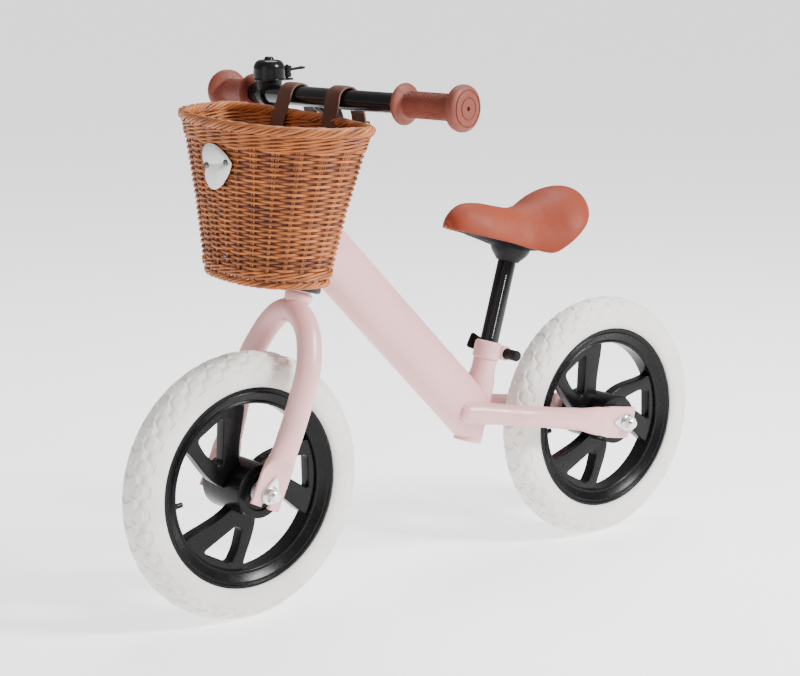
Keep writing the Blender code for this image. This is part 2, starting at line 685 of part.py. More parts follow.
def make_grips():
    """Each is a closed sleeve with a flange at its inner end and a wide button at its outer end."""
    bore = BAR_RADIUS + GAP
    end = (GRIP_END - GRIP_START) / math.cos(BAR_SWEEP)
    inner_end = (BAR_HALF_WIDTH - GRIP_START) / math.cos(BAR_SWEEP) + 0.0030
    profile = [
        (bore, 0.0), (0.0205, 0.0), (0.0225, 0.0020), (0.0225, 0.0045), (0.0195, 0.0065), (0.0132, 0.0090),
        (0.0132, end - 0.0160), (0.0215, end - 0.0140), (0.0246, end - 0.0110), (0.0246, end - 0.0050),
        (0.0215, end - 0.0010), (0.0150, end), (0.0, end), (0.0, inner_end), (bore, inner_end),
    ]
    for name, sign in SIDES:
        foot, run = on_bar(sign * GRIP_START)
        add(f"{name}_grip", turned(profile, foot, run, 16), TERRACOTTA, steering)


# ---------------------------------------------------------------- bell
def make_bell():
    """A base clamped round the bar, a dome screwed to its post, and a thumb lever pinned beside it."""
    place, run = on_bar(BELL_Y)
    base = add(
        "bell_base", tube(place, run, 0.0142, BAR_RADIUS + GAP, -0.0070, 0.0070, 20), BLACK_PLASTIC,
        steering
    )
    neck = place.z + BAR_RADIUS + 0.0008
    plate = BELL_DOME_FOOT - 0.0004
    up = Vector((place.x, place.y, 0))
    pivot = bell_pivot()
    arm = [
        (-0.0060, 0.0), (-0.0060, 0.0060), (0.0, 0.0075), (0.0330, 0.0045), (0.0330, -0.0045),
        (0.0, -0.0060)
    ]
    back = (Vector((pivot.x, pivot.y, 0)) - up).normalized()
    join(
        base, rod(up, Z_AXIS, 0.0075, neck, plate, 12),
        rod(up, Z_AXIS, 0.0028, neck, BELL_DOME_TOP - 0.0026, 8)
    )
    join(base, slab(arm, up + Z_AXIS * (plate - 0.0012), back, Z_AXIS.cross(back), 0.0024))
    join(
        base,
        rod(Vector((pivot.x, pivot.y, 0)), Z_AXIS, 0.0017, plate - 0.0012, BELL_DOME_FOOT + 0.0150, 8)
    )
    outer, inner = BELL_DOME_RADIUS, BELL_DOME_RADIUS - 0.0012
    top, foot = BELL_DOME_TOP, BELL_DOME_FOOT
    dome = [
        (inner, foot), (outer, foot), (outer, foot + 0.0110), (outer - 0.0020, foot + 0.0165),
        (outer - 0.0060, top - 0.0012),
        (0.0070, top), (0.0048, top), (0.0048, top + 0.0022), (0.0035, top + 0.0032), (0.0, top + 0.0032),
        (0.0, top - 0.0018), (0.0070, top - 0.0018), (outer - 0.0068, top - 0.0030),
        (inner - 0.0018, foot + 0.0160),
        (inner, foot + 0.0110),
    ]
    add("bell_dome", turned(dome, up, Z_AXIS, 18), BLACK_PAINT, steering)
    make_bell_lever(pivot)


def bell_pivot():
    place, _ = on_bar(BELL_Y)
    return place + Vector((-0.0270, -0.0030, BELL_DOME_FOOT - place.z))


def make_bell_lever(pivot):
    hinge = empty("bell_lever_axis", pivot)
    on_parent(hinge, steering)
    foot = Vector((pivot.x, pivot.y, 0))
    base = pivot.z + 0.0006
    boss = tube(foot, Z_AXIS, 0.0052, 0.0017 + GAP, base, base + 0.0130, 12)
    lever = add("bell_lever", boss, BLACK_PLASTIC, hinge)
    run = Vector((-0.95, 0.10, 0.30)).normalized()
    tab = [
        (0.0030, -0.0028), (0.0030, 0.0028), (0.0190, 0.0050), (0.0215, 0.0030), (0.0215, -0.0030),
        (0.0190, -0.0050)
    ]
    join(lever, slab(tab, pivot + Z_AXIS * 0.0085, run, run.cross(Y_AXIS).cross(run).normalized(), 0.0024))


# ---------------------------------------------------------------- basket
RIM_OUTLINE = (0.1700, 0.3165, 0.0175, 0.1365, 0.24, 2.25, 2.3)
FOOT_OUTLINE = (0.2080, 0.3050, 0.0210, 0.0820, 0.30, 2.40, 3.0)
BASKET_POINTS = 24


def basket_ring(level, inset):
    """An outline between foot and rim: rear, front, centre, half width, widest place, and two powers."""
    rear, front, centre, half, widest, front_power, rear_power = between(FOOT_OUTLINE, RIM_OUTLINE, level)
    rear, front, half = rear + inset, front - inset, half - inset
    middle = rear + (front - rear) * widest
    points = []
    for i in range(BASKET_POINTS):
        turn = 2 * math.pi * (i + 0.5) / BASKET_POINTS
        c, s = math.cos(turn), math.sin(turn)
        reach, power = (front - middle, front_power) if c > 0 else (middle - rear, rear_power)
        x = middle + math.copysign(abs(c) ** (2 / power), c) * reach
        y = centre + math.copysign(abs(s) ** (2 / power), s) * half
        tilt = BASKET_PITCH * (x - 0.24) + BASKET_ROLL * (y - centre)
        points.append(Vector((x, y, BASKET_FOOT_Z + (BASKET_RIM_Z - BASKET_FOOT_Z) * level + tilt)))
    return points


def make_basket():
    """A tapered wall with a floor, under a rim that stands proud of it all round."""
    floor = BASKET_FLOOR / (BASKET_RIM_Z - BASKET_FOOT_Z)
    outer = [
        (1.0, 0.0025), (0.970, 0.0), (0.935, 0.0), (0.905, BASKET_INSET), (0.45, BASKET_INSET),
        (0.0, 0.0)
    ]
    inner = [(1.0, 0.0060), (0.970, 0.0085), (0.935, 0.0085), (0.905, BASKET_INSET + BASKET_WALL),
             (0.45, BASKET_INSET + BASKET_WALL), (floor, BASKET_WALL)]
    outer, inner = [[basket_ring(*place) for place in places] for places in (outer, inner)]
    basket = add("basket", cup(outer, inner), WICKER, steering)
    for _, sideways, _ in STRAP_PLACES:
        half = STRAP_WIDTH / 2 + 0.0010
        slot = [(-0.0300, -half), (0.0300, -half), (0.0300, half), (-0.0300, half)]
        cut(basket, slab(slot, (0.1900, sideways, STRAP_SLOT_Z), X_AXIS, Y_AXIS, 0.0060))
    return basket


def heart_outline():
    """A heart on its side: two round lobes on the left, and a point to the right."""
    lobe = arc(0.0135, 231, 40, 9, centre=(-0.0095, 0.0105))
    side = [*lobe, (0.0105, 0.0155), (0.0195, 0.0085)]
    return [*side, (0.0275, 0.0), *[(a, -b) for a, b in side[:0:-1]]]


def make_badge(basket):
    """A plain plate on the basket's front, held by two screws through the wicker."""
    out = Vector((1.0, 0.037, -0.044)).normalized()
    across = (Z_AXIS.cross(out) + Z_AXIS * BADGE_TURN).normalized()
    across = (across - out * across.dot(out)).normalized()
    up = out.cross(across)
    badge = add("basket_badge", slab(heart_outline(), BADGE_CENTRE, across, up, 0.0010), SILVER, steering)
    for number, (a, b) in enumerate(BADGE_SCREWS, 1):
        place = BADGE_CENTRE + a * across + b * up
        cut(badge, rod(place, out, 0.0019, -0.01, 0.01, 10))
        cut(basket, rod(place, out, 0.0019, -0.03, 0.01, 10))
        screw = [
            (0, -0.0130), (0.0016, -0.0130), (0.0016, 0.0008), (0.0034, 0.0008), (0.0026, 0.0022),
            (0, 0.0026)
        ]
        add(f"badge_screw_{number}", turned(screw, place, out, 10), ZINC, steering)


def strap_path(sideways, ease):
    """Side view of a strap: up behind the bar, over it, down inside the basket and out through its wall."""
    radius = BAR_RADIUS + STRAP_THICKNESS / 2 + STRAP_SLACK
    bar, _ = on_bar(sideways)
    over = arc(radius, 200, 20, 8, centre=(bar.x, bar.z))
    return [
        (0.1440, 0.5340), (0.1425, 0.5450), (0.1450, 0.5570), *over, (0.1800, 0.5600),
        (0.1845 + ease, 0.5500),
        (0.1892 + ease, 0.5380), (0.1935 + ease, 0.5220), (0.1960 + ease, 0.5100),
        (0.1930 + ease, STRAP_SLOT_Z),
        (0.1680, STRAP_SLOT_Z), (0.1560, 0.5120), (0.1490, 0.5220),
    ]


def make_straps():
    for name, sideways, ease in STRAP_PLACES:
        path = [Vector((x, 0, z)) for x, z in strap_path(sideways, ease)]
        rings = []
        for place, run in zip(path, tangents(path)):
            out = run.cross(Y_AXIS).normalized() * STRAP_THICKNESS / 2
            edges = [Y_AXIS * (sideways - STRAP_WIDTH / 2), Y_AXIS * (sideways + STRAP_WIDTH / 2)]
            rings.append(
                [place + edges[0] - out, place + edges[1] - out, place + edges[1] + out, place + edges[0] + out]
            )
        add(f"{name}_strap", skin(rings), LEATHER, steering)
        run = (path[0] - path[1]).normalized()
        lift = STRAP_THICKNESS / 2 + 0.0018
        middle = path[0] + Y_AXIS * sideways - run * 0.0020 - run.cross(Y_AXIS) * lift
        half = STRAP_WIDTH / 2 + 0.0050
        outline = [(-0.0110, -half), (0.0110, -half), (0.0110, half), (-0.0110, half)]
        buckle = add(f"{name}_buckle", slab(outline, middle, run, Y_AXIS, 0.0024), ZINC, steering)
        for start, end in ((-0.0086, -0.0012), (0.0012, 0.0086)):
            window = [
                (start, 0.0030 - half), (end, 0.0030 - half), (end, half - 0.0030),
                (start, half - 0.0030)
            ]
            cut(buckle, slab(window, middle, run, Y_AXIS, 0.0060))


# ---------------------------------------------------------------- seat
def make_seat_clamp():
    """A split collar with two ears, the skewer through them, its nut and its quick-release lever."""
    ring = [
        (COLLAR_RADIUS, COLLAR_START), (COLLAR_RADIUS, COLLAR_END - 0.0025),
        (COLLAR_RADIUS - 0.0018, COLLAR_END),
        (SEAT_POST_RADIUS + 0.0008, COLLAR_END), (SEAT_POST_RADIUS + 0.0008, SEAT_TUBE_LENGTH + GAP),
        (SEAT_TUBE_NECK_RADIUS + GAP, SEAT_TUBE_LENGTH + GAP), (SEAT_TUBE_NECK_RADIUS + GAP, COLLAR_START),
    ]
    collar = add("seat_clamp_collar", turned(ring, SEAT_FOOT, SEAT_UP, 20), PINK)
    rear, height = SKEWER_SETBACK + 0.0068, 0.0085
    root = SEAT_TUBE_NECK_RADIUS + 0.0005
    ear = [(root, -height), (rear - 0.0050, -height), (rear, -height + 0.0050), (rear, height - 0.0050),
           (rear - 0.0050, height), (root, height)]
    middle = SEAT_FOOT + SEAT_UP * SKEWER_HEIGHT
    join(collar, slab(ear, middle, -SEAT_FORWARD, SEAT_UP, EAR_HALF_WIDTH * 2))
    slit = [(0.0050, -0.03), (0.0500, -0.03), (0.0500, 0.03), (0.0050, 0.03)]
    cut(collar, rod(SEAT_FOOT, SEAT_UP, SEAT_TUBE_NECK_RADIUS + GAP, 0.05, SEAT_TUBE_LENGTH + GAP, 20))
    cut(
        collar, slab(slit, middle, -SEAT_FORWARD, SEAT_UP, 0.0026),
        rod(SKEWER, Y_AXIS, SKEWER_RADIUS + GAP, -0.03, 0.03, 12)
    )
    add("clamp_skewer", rod(SKEWER, Y_AXIS, SKEWER_RADIUS, LEVER_PIVOT_Y, 0.0240, 12), ZINC)
    start = EAR_HALF_WIDTH + GAP
    nut = [
        (SKEWER_RADIUS + GAP, start), (0.0068, start), (0.0068, 0.0290), (0.0056, 0.0300), (0, 0.0300),
        (0, 0.0245),
           (SKEWER_RADIUS + GAP, 0.0245)]
    add("clamp_nut", turned(nut, SKEWER, Y_AXIS, 12), BLACK_PLASTIC)
    hinge = SKEWER + Y_AXIS * LEVER_PIVOT_Y
    lever = add(
        "clamp_lever", rod(hinge, LEVER_AXIS, 0.0064, -0.0085, 0.0085, 16), BLACK_PLASTIC, lever_hinge
    )
    blade = [(0.0, -0.0085), (0.0200, -0.0085), (0.0300, -0.0095), (0.0345, -0.0060), (0.0345, 0.0060),
             (0.0300, 0.0095), (0.0200, 0.0085), (0.0, 0.0085)]
    lean = (LEVER_RUN - Y_AXIS * 0.10).normalized()
    join(lever, slab(blade, hinge - Y_AXIS * 0.0040, lean, LEVER_AXIS, 0.0032))
    notch = [(-0.02, -0.0030), (0.0040, -0.0030), (0.0040, 0.0030), (-0.02, 0.0030)]
    cut(lever, slab(notch, hinge + Y_AXIS * 0.0010, LEVER_RUN, LEVER_AXIS, 0.0180))


def make_seat_post():
    wall = [(SEAT_POST_RADIUS, SEAT_POST_START), (SEAT_POST_RADIUS, SEAT_POST_END),
            (SEAT_POST_RADIUS - 0.0015, SEAT_POST_END), (SEAT_POST_RADIUS - 0.0015, SEAT_POST_START)]
    add("seat_post", turned(wall, SEAT_FOOT, SEAT_UP, 24), BLACK_PAINT, seat_slide)
    bore = SEAT_POST_RADIUS + GAP
    bracket = [
        (bore, BRACKET_START), (0.0131, BRACKET_START), (0.0145, 0.2210), (0.0215, 0.2300),
        (0.0243, 0.2370), (0.0248, BRACKET_TOP),
               (0, BRACKET_TOP), (0, SEAT_POST_END + GAP), (bore, SEAT_POST_END + GAP)]
    add("saddle_bracket", turned(bracket, SEAT_FOOT, SEAT_UP, 24), BLACK_PLASTIC, seat_slide)


# Stations from nose to tail: x, half width, height of the skirt's edge, height of the crest.
SADDLE_STATIONS = [
    (-0.0225, 0.0070, 0.4090, 0.4165), (-0.0295, 0.0165, 0.4070, 0.4265), (-0.0450, 0.0245, 0.4025, 0.4350),
    (-0.0700, 0.0310, 0.3955, 0.4340), (-0.0950, 0.0350, 0.3885, 0.4285), (-0.1180, 0.0420, 0.3805, 0.4245),
    (-0.1400, 0.0540, 0.3745, 0.4270), (-0.1550, 0.0590, 0.3800, 0.4325), (-0.1720, 0.0620, 0.3910, 0.4395),
    (-0.1900, 0.0580, 0.4030, 0.4440), (-0.2060, 0.0460, 0.4130, 0.4440), (-0.2190, 0.0290, 0.4200, 0.4390),
    (-0.2260, 0.0110, 0.4240, 0.4340),
]
SADDLE_ROUNDNESS = 1.3
SADDLE_EDGE = 0.0040
PAN_THICKNESS = 0.0050


def pan_bottom(skirt):
    """The pan lies just inside the skirt, and stays above the bracket that carries it."""
    bracket_top = (SEAT_FOOT + SEAT_UP * BRACKET_TOP).z + 0.0075
    return max(skirt + 0.0030, bracket_top)


def make_saddle():
    """A foam pad in vinyl, hollowed below for the plastic pan that it is stretched over."""
    pad, pan = [], []
    for x, half, skirt, crest in SADDLE_STATIONS:
        ring = []
        for i in range(13):
            turn = math.pi * i / 12
            c, s = math.cos(turn), math.sin(turn)
            ring.append(Vector((x, c * half, skirt + (crest - skirt) * s**SADDLE_ROUNDNESS)))
        inside = max(half * 0.92 - SADDLE_EDGE, 0.0030)
        roof = min(pan_bottom(skirt) + PAN_THICKNESS + GAP, crest - 0.0060)
        ring += [Vector((x, -inside, skirt + 0.0005)), Vector((x, -inside, roof)), Vector((x, 0, roof)),
                 Vector((x, inside, roof)), Vector((x, inside, skirt + 0.0005))]
        pad.append(ring)
    add("saddle_pad", skin(pad), VINYL, seat_slide)
    for x, half, skirt, _ in SADDLE_STATIONS[2:-1]:
        inside = half * 0.92 - SADDLE_EDGE - 0.0010
        low = pan_bottom(skirt)
        high = low + PAN_THICKNESS - GAP
        pan.append(
            [Vector((x, y, z)) for y, z in ((inside, low), (inside, high), (-inside, high), (-inside, low))]
        )
    add("saddle_base", skin(pan), BLACK_PLASTIC, seat_slide)


make_wheel("front", FRONT_AXLE, front_spin)
make_wheel("rear", REAR_AXLE, rear_spin)
make_head_tube()
make_seat_tube()
make_down_tube()
make_stays()
make_fork()
make_axle_set("front", FRONT_AXLE, steering, LEG_POINTS)
make_axle_set("rear", REAR_AXLE, None, STAY_POINTS)
make_headset()
make_stem()
make_handlebar()
make_grips()
make_bell()
make_badge(make_basket())
make_straps()
make_seat_clamp()
make_seat_post()
make_saddle()
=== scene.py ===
"""The looks of a child's balance bike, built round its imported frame.

Metres, in the frame of the CAD: +X the way the bike rides, +Y its left side, +Z up, and the origin on
the ground midway between the axles. Every piece is mesh code with a procedural material.
"""

import math

import bmesh
import bpy
import numpy as np
from mathutils import Matrix, Vector


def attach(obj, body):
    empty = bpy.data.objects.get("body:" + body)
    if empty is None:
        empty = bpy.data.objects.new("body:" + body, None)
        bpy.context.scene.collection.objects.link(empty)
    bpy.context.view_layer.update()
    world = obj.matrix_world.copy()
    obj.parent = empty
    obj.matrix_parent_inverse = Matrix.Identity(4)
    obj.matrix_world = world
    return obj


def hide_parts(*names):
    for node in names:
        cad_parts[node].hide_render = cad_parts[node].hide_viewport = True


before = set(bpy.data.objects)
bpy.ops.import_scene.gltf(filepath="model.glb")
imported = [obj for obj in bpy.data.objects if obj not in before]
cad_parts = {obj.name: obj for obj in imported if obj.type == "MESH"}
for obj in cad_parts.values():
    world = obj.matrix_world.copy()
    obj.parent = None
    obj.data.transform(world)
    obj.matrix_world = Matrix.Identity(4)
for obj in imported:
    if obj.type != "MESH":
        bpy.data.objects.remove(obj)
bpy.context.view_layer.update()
draws = np.random.default_rng(11)

# ---------------------------------------------------------------- dimensions, as in the CAD
GAP = 0.0003
TUBE_WALL = 0.0020
FRONT_AXLE = Vector((0.2695, 0, 0.150))
REAR_AXLE = Vector((-0.2695, 0, 0.150))
TYRE_RADIUS = 0.150
RIM_RADIUS = 0.1122
RIM_INNER_RADIUS = 0.0930
RIM_BED_RADIUS = 0.1065
HUB_RADIUS = 0.0300
HUB_HALF_LENGTH = 0.0350
FIRST_SPOKE_GROUP = 59.0
WEB_THICKNESS = 0.0150
AXLE_HOLE_RADIUS = 0.0053

HEAD_ANGLE = math.radians(73.0)
CROWN = Vector((0.1905, 0.0, 0.3550))
HEAD_TUBE_RADIUS = 0.0180
HEAD_TUBE_START, HEAD_TUBE_END = 0.0135, 0.0985
STEM_BEND = 0.2000
SEAT_ANGLE = math.radians(73.8)
SEAT_FOOT = Vector((-0.0547, 0.0, 0.1497))
SEAT_TUBE_RADIUS = 0.0170
SEAT_TUBE_NECK = 0.0143
SEAT_TUBE_LENGTH = 0.1180
SEAT_POST_RADIUS = 0.0110
DOWN_TUBE_ANGLE = math.radians(45.4)
DOWN_TUBE_TOP = Vector((0.1708, 0.0, 0.4157))
DOWN_TUBE_LENGTH = 0.3550
DOWN_TUBE_HALF_WIDTH, DOWN_TUBE_HALF_HEIGHT, DOWN_TUBE_POWER = 0.0240, 0.0312, 2.15
STEERER_RADIUS = 0.0127

BAR_CENTRE = Vector((0.1650, 0.0, 0.5695))
BAR_RADIUS = 0.0110
BAR_SWEEP = math.radians(10.0)
BAR_TILT = math.radians(1.05)
BAR_HALF_WIDTH = 0.2130
GRIP_START, GRIP_END = 0.1330, 0.2210
BELL_Y = -0.1000
BELL_FOOT, BELL_TOP = 0.5835, 0.6052

X_AXIS, Y_AXIS, Z_AXIS = Vector((1, 0, 0)), Vector((0, 1, 0)), Vector((0, 0, 1))
SIDES = (("left", 1), ("right", -1))
STEER_UP = Vector((-math.cos(HEAD_ANGLE), 0, math.sin(HEAD_ANGLE)))
STEER_FORWARD = Vector((math.sin(HEAD_ANGLE), 0, math.cos(HEAD_ANGLE)))
SEAT_UP = Vector((-math.cos(SEAT_ANGLE), 0, math.sin(SEAT_ANGLE)))
SEAT_FORWARD = Vector((math.sin(SEAT_ANGLE), 0, math.cos(SEAT_ANGLE)))
DOWN_TUBE_RUN = Vector((-math.cos(DOWN_TUBE_ANGLE), 0, -math.sin(DOWN_TUBE_ANGLE)))


# ---------------------------------------------------------------- materials
class Look:
    """A procedural material: colour that varies, roughness that varies, and a bump."""

    def __init__(self, name, **uniform):
        self.material = bpy.data.materials.new(name)
        self.material.use_nodes = True
        self.tree = self.material.node_tree
        self.shader = self.tree.nodes["Principled BSDF"]
        for socket, value in uniform.items():
            self.shader.inputs[socket.replace("_", " ")].default_value = value
        self.coords = self.tree.nodes.new("ShaderNodeTexCoord").outputs["Object"]

    def node(self, kind, **inputs):
        made = self.tree.nodes.new(kind)
        for socket, value in inputs.items():
            self.plug(value, made.inputs[socket.replace("_", " ")])
        return made

    def plug(self, value, socket):
        if isinstance(value, bpy.types.NodeSocket):
            self.tree.links.new(value, socket)
        else:
            socket.default_value = value

    def noise(self, scale, detail=4.0, stretch=(1, 1, 1)):
        place = self.node("ShaderNodeMapping", Vector=self.coords, Scale=stretch)
        return self.node(
            "ShaderNodeTexNoise", Vector=place.outputs[0], Scale=scale, Detail=detail
        ).outputs["Fac"]

    def ramp(self, value, low, high, start=0.3, end=0.7):
        made = self.node(
            "ShaderNodeMapRange", Value=value, From_Min=start, From_Max=end, To_Min=low, To_Max=high
        )
        return made.outputs[0]

    def mixed(self, value, first, second):
        made = self.tree.nodes.new("ShaderNodeMix")
        made.data_type = "RGBA"
        for socket, what in zip((made.inputs[0], made.inputs[6], made.inputs[7]), (value, first, second)):
            colour = (*what, 1.0) if isinstance(what, tuple) else what
            self.plug(colour, socket)
        return made.outputs[2]

    def math(self, operation, first, second):
        made = self.tree.nodes.new("ShaderNodeMath")
        made.operation = operation
        self.plug(first, made.inputs[0])
        self.plug(second, made.inputs[1])
        return made.outputs[0]

    def bump(self, height, distance, strength=1.0):
        made = self.node("ShaderNodeBump", Height=height, Distance=distance, Strength=strength)
        if self.shader.inputs["Normal"].links:
            self.plug(self.shader.inputs["Normal"].links[0].from_socket, made.inputs["Normal"])
        self.plug(made.outputs[0], self.shader.inputs["Normal"])

    def finish(self, colour, roughness):
        self.plug(colour, self.shader.inputs["Base Color"])
        self.plug(roughness, self.shader.inputs["Roughness"])
        return self.material


def plain_look(name, dark, light, scale, rough, grain, depth, **uniform):
    """Colour and roughness drift over the surface, under a fine grain."""
    look = Look(name, **uniform)
    drift = look.noise(scale)
    look.bump(look.noise(grain, 3.0), depth)
    smear = look.noise(scale * 3.7)
    return look.finish(look.mixed(look.ramp(drift, 0.0, 1.0), dark, light), look.ramp(smear, *rough))


def cane_look():
    """Split willow: each cane has its own tone, with grain along it and a few darker streaks. The tone also
    carries the weave's painted shade and painted light.
    """
    look = Look("wicker_cane", Specular_IOR_Level=0.45)
    tone = look.node("ShaderNodeAttribute")
    tone.attribute_name = "tone"
    shade = look.math("ADD", tone.outputs["Fac"], look.ramp(look.noise(60.0), -0.22, 0.22))
    colour = look.mixed(look.ramp(shade, 0.0, 1.0, 0.0, 1.0), (0.085, 0.016, 0.003), (0.490, 0.150, 0.034))
    streak = look.ramp(look.noise(420.0, 5.0, (1, 1, 3)), 0.0, 1.0, 0.52, 0.72)
    colour = look.mixed(look.math("MULTIPLY", streak, 0.35), colour, (0.060, 0.013, 0.003))
    look.bump(look.noise(900.0, 4.0, (1, 1, 4)), 0.00025)
    return look.finish(colour, look.ramp(look.noise(150.0), 0.36, 0.55))


def leather_look(name, dark, light, pore, depth, rough, crease=0.0007):
    """Pebbled grain from cells, over softer creases."""
    look = Look(name, Specular_IOR_Level=0.28)
    cells = look.node("ShaderNodeTexVoronoi", Vector=look.coords, Scale=pore).outputs["Distance"]
    look.bump(cells, depth)
    look.bump(look.noise(45.0, 5.0), crease, 0.5)
    shade = look.math("ADD", look.math("MULTIPLY", look.noise(22.0), 0.7), look.math("MULTIPLY", cells, 0.25))
    return look.finish(
        look.mixed(look.ramp(shade, 0.0, 1.0, 0.25, 0.72), dark, light), look.ramp(look.noise(70.0), *rough)
    )


def metal_look(name, dark, light, rough, stretch=(1, 1, 1)):
    """Bright plate with a brushed grain and faint dull patches."""
    look = Look(name, Metallic=1.0)
    look.bump(look.noise(1400.0, 3.0, stretch), 0.00006)
    return look.finish(
        look.mixed(look.ramp(look.noise(90.0), 0.0, 1.0), dark, light), look.ramp(look.noise(240.0), *rough)
    )


PINK = plain_look(
    "pink_powder_coat", (0.700, 0.372, 0.366), (0.740, 0.416, 0.405), 14.0, (0.34, 0.44), 1500.0, 0.00007,
    Coat_Weight=0.25, Coat_Roughness=0.25
)
BLACK_PAINT = plain_look(
    "black_gloss_paint", (0.004, 0.004, 0.005), (0.008, 0.008, 0.009), 30.0, (0.14, 0.24), 900.0, 0.00003,
    Specular_IOR_Level=0.24
)
BLACK_PLASTIC = plain_look(
    "black_moulded_plastic", (0.006, 0.006, 0.007), (0.012, 0.012, 0.013), 40.0, (0.34, 0.50), 1100.0,
    0.00016, Specular_IOR_Level=0.12
)
PAN_PLASTIC = plain_look(
    "matt_pan_plastic", (0.005, 0.005, 0.006), (0.010, 0.010, 0.011), 40.0, (0.50, 0.64), 900.0, 0.00016,
    Specular_IOR_Level=0.02
)
RIM_PLASTIC = plain_look(
    "satin_rim_plastic", (0.0030, 0.0030, 0.0034), (0.0060, 0.0060, 0.0066), 25.0, (0.20, 0.30), 1400.0,
    0.00004, Specular_IOR_Level=0.14
)
TYRE_FOAM = plain_look(
    "warm_white_foam", (0.70, 0.68, 0.63), (0.79, 0.775, 0.73), 26.0, (0.55, 0.75), 1300.0, 0.00022
)
GRIP_RUBBER = plain_look(
    "terracotta_rubber", (0.135, 0.021, 0.008), (0.182, 0.032, 0.013), 34.0, (0.50, 0.68), 1000.0, 0.00020
)
VINYL = leather_look(
    "terracotta_vinyl", (0.188, 0.026, 0.008), (0.240, 0.037, 0.0115), 1500.0, 0.00008, (0.52, 0.66), 0.0002
)
LEATHER = leather_look(
    "dark_brown_leather", (0.060, 0.018, 0.010), (0.108, 0.037, 0.020), 1900.0, 0.00012, (0.42, 0.60)
)
LEATHER_EDGE = leather_look(
    "leather_cut_edge", (0.120, 0.060, 0.045), (0.210, 0.115, 0.090), 2600.0, 0.00015, (0.6, 0.8)
)
ZINC = metal_look("zinc_plate", (0.62, 0.63, 0.63), (0.82, 0.83, 0.83), (0.18, 0.34))
BEARING_STEEL = metal_look("bearing_steel", (0.50, 0.50, 0.51), (0.66, 0.66, 0.67), (0.16, 0.28))
DARK_SCREW = metal_look("blackened_screw", (0.10, 0.10, 0.10), (0.20, 0.19, 0.18), (0.35, 0.5))
BADGE_METAL = metal_look(
    "brushed_badge_plate", (0.56, 0.56, 0.55), (0.68, 0.68, 0.67), (0.34, 0.46), (1, 1, 9)
)
WHITE_INK = plain_look("white_ink", (0.42, 0.42, 0.42), (0.52, 0.52, 0.52), 50.0, (0.5, 0.6), 900.0, 0.00003)
CANE = cane_look()


# ---------------------------------------------------------------- building blocks
class Shape:
    """Skins over rings of points, gathered into one mesh."""

    def __init__(self):
        self.points, self.faces, self.tones, self.count = [], [], [], 0

    def skin(self, rings, wrap=False, caps=True, tone=0.5):
        rings = np.asarray(rings, float)
        rows, columns, _ = rings.shape
        index = self.count + np.arange(rows * columns).reshape(rows, columns)
        self.points.append(rings.reshape(-1, 3))
        self.tones.append(np.full(rows * columns, tone))
        self.count += rows * columns
        beside = np.roll(index, -1, axis=1)
        above, above_beside = np.roll(index, -1, axis=0), np.roll(beside, -1, axis=0)
        last = rows if wrap else rows - 1
        quads = np.stack([index[:last], beside[:last], above_beside[:last], above[:last]], axis=-1)
        self.faces += quads.reshape(-1, 4).tolist()
        if caps and not wrap:
            self.faces.append(index[0][::-1].tolist())
            self.faces.append(index[-1].tolist())
        return self

    def mesh(self, name):
        mesh = bpy.data.meshes.new(name)
        mesh.from_pydata(np.concatenate(self.points).tolist(), [], self.faces)
        tone = mesh.attributes.new("tone", "FLOAT", "POINT")
        tone.data.foreach_set("value", np.concatenate(self.tones))
        clean = bmesh.new()
        clean.from_mesh(mesh)
        bmesh.ops.remove_doubles(clean, verts=clean.verts, dist=1e-7)
        bmesh.ops.dissolve_degenerate(clean, edges=clean.edges, dist=1e-7)
        bmesh.ops.recalc_face_normals(clean, faces=clean.faces)
        clean.to_mesh(mesh)
        clean.free()
        return mesh


def thing(name, shape):
    made = bpy.data.objects.new(name, shape.mesh(name))
    bpy.context.scene.collection.objects.link(made)
    return made


def settle(obj):
    """Applies the object's modifiers."""
    graph = bpy.context.evaluated_depsgraph_get()
    mesh = bpy.data.meshes.new_from_object(obj.evaluated_get(graph))
    obj.modifiers.clear()
    obj.data = mesh
    return obj


def boolean(obj, operation, *tools):
    """Cuts or joins the object with shapes or other objects, which are used up."""
    helpers = [thing("helper", tool) if isinstance(tool, Shape) else tool for tool in tools]
    for helper in helpers:
        change = obj.modifiers.new(operation, "BOOLEAN")
        change.operation, change.solver, change.object = operation, "EXACT", helper
    settle(obj)
    for helper in helpers:
        bpy.data.objects.remove(helper)
    return obj


def bevelled(obj, width, segments=3, angle=35):
    change = obj.modifiers.new("edges", "BEVEL")
    change.width, change.segments = width, segments
    change.limit_method, change.angle_limit = "ANGLE", math.radians(angle)
    return settle(obj)


def place(obj, body, slot, *nodes, look=None, sharp=38):
    """The finished piece rides on a body, takes its material and stands for its CAD nodes. The slot is not
    used.
    """
    if look:
        obj.data.materials.append(look)
    obj.data.shade_smooth()
    obj.data.set_sharp_from_angle(angle=math.radians(sharp))
    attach(obj, body)
    if nodes:
        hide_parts(*nodes)
    return obj


def merged(name, *objects):
    """Joins objects into the first, which takes the name."""
    with bpy.context.temp_override(active_object=objects[0], selected_editable_objects=list(objects)):
        bpy.ops.object.join()
    objects[0].name = name
    return objects[0]


def softened(outline, radius=0.0006, steps=3):
    """A closed outline of (a, b) points with its corners rounded. Points on the axis stay."""
    smooth = []
    for i, point in enumerate(outline):
        here, before, after = Vector(point), Vector(outline[i - 1]), Vector(outline[(i + 1) % len(outline)])
        if point[0] <= 0:
            smooth.append(tuple(point))
            continue
        back, ahead = before - here, after - here
        reach = min(radius, back.length * 0.45, ahead.length * 0.45)
        start, end = here + back.normalized() * reach, here + ahead.normalized() * reach
        for k in range(steps + 1):
            t = k / steps
            smooth.append(tuple(start * (1 - t) ** 2 + here * 2 * t * (1 - t) + end * t**2))
    return smooth


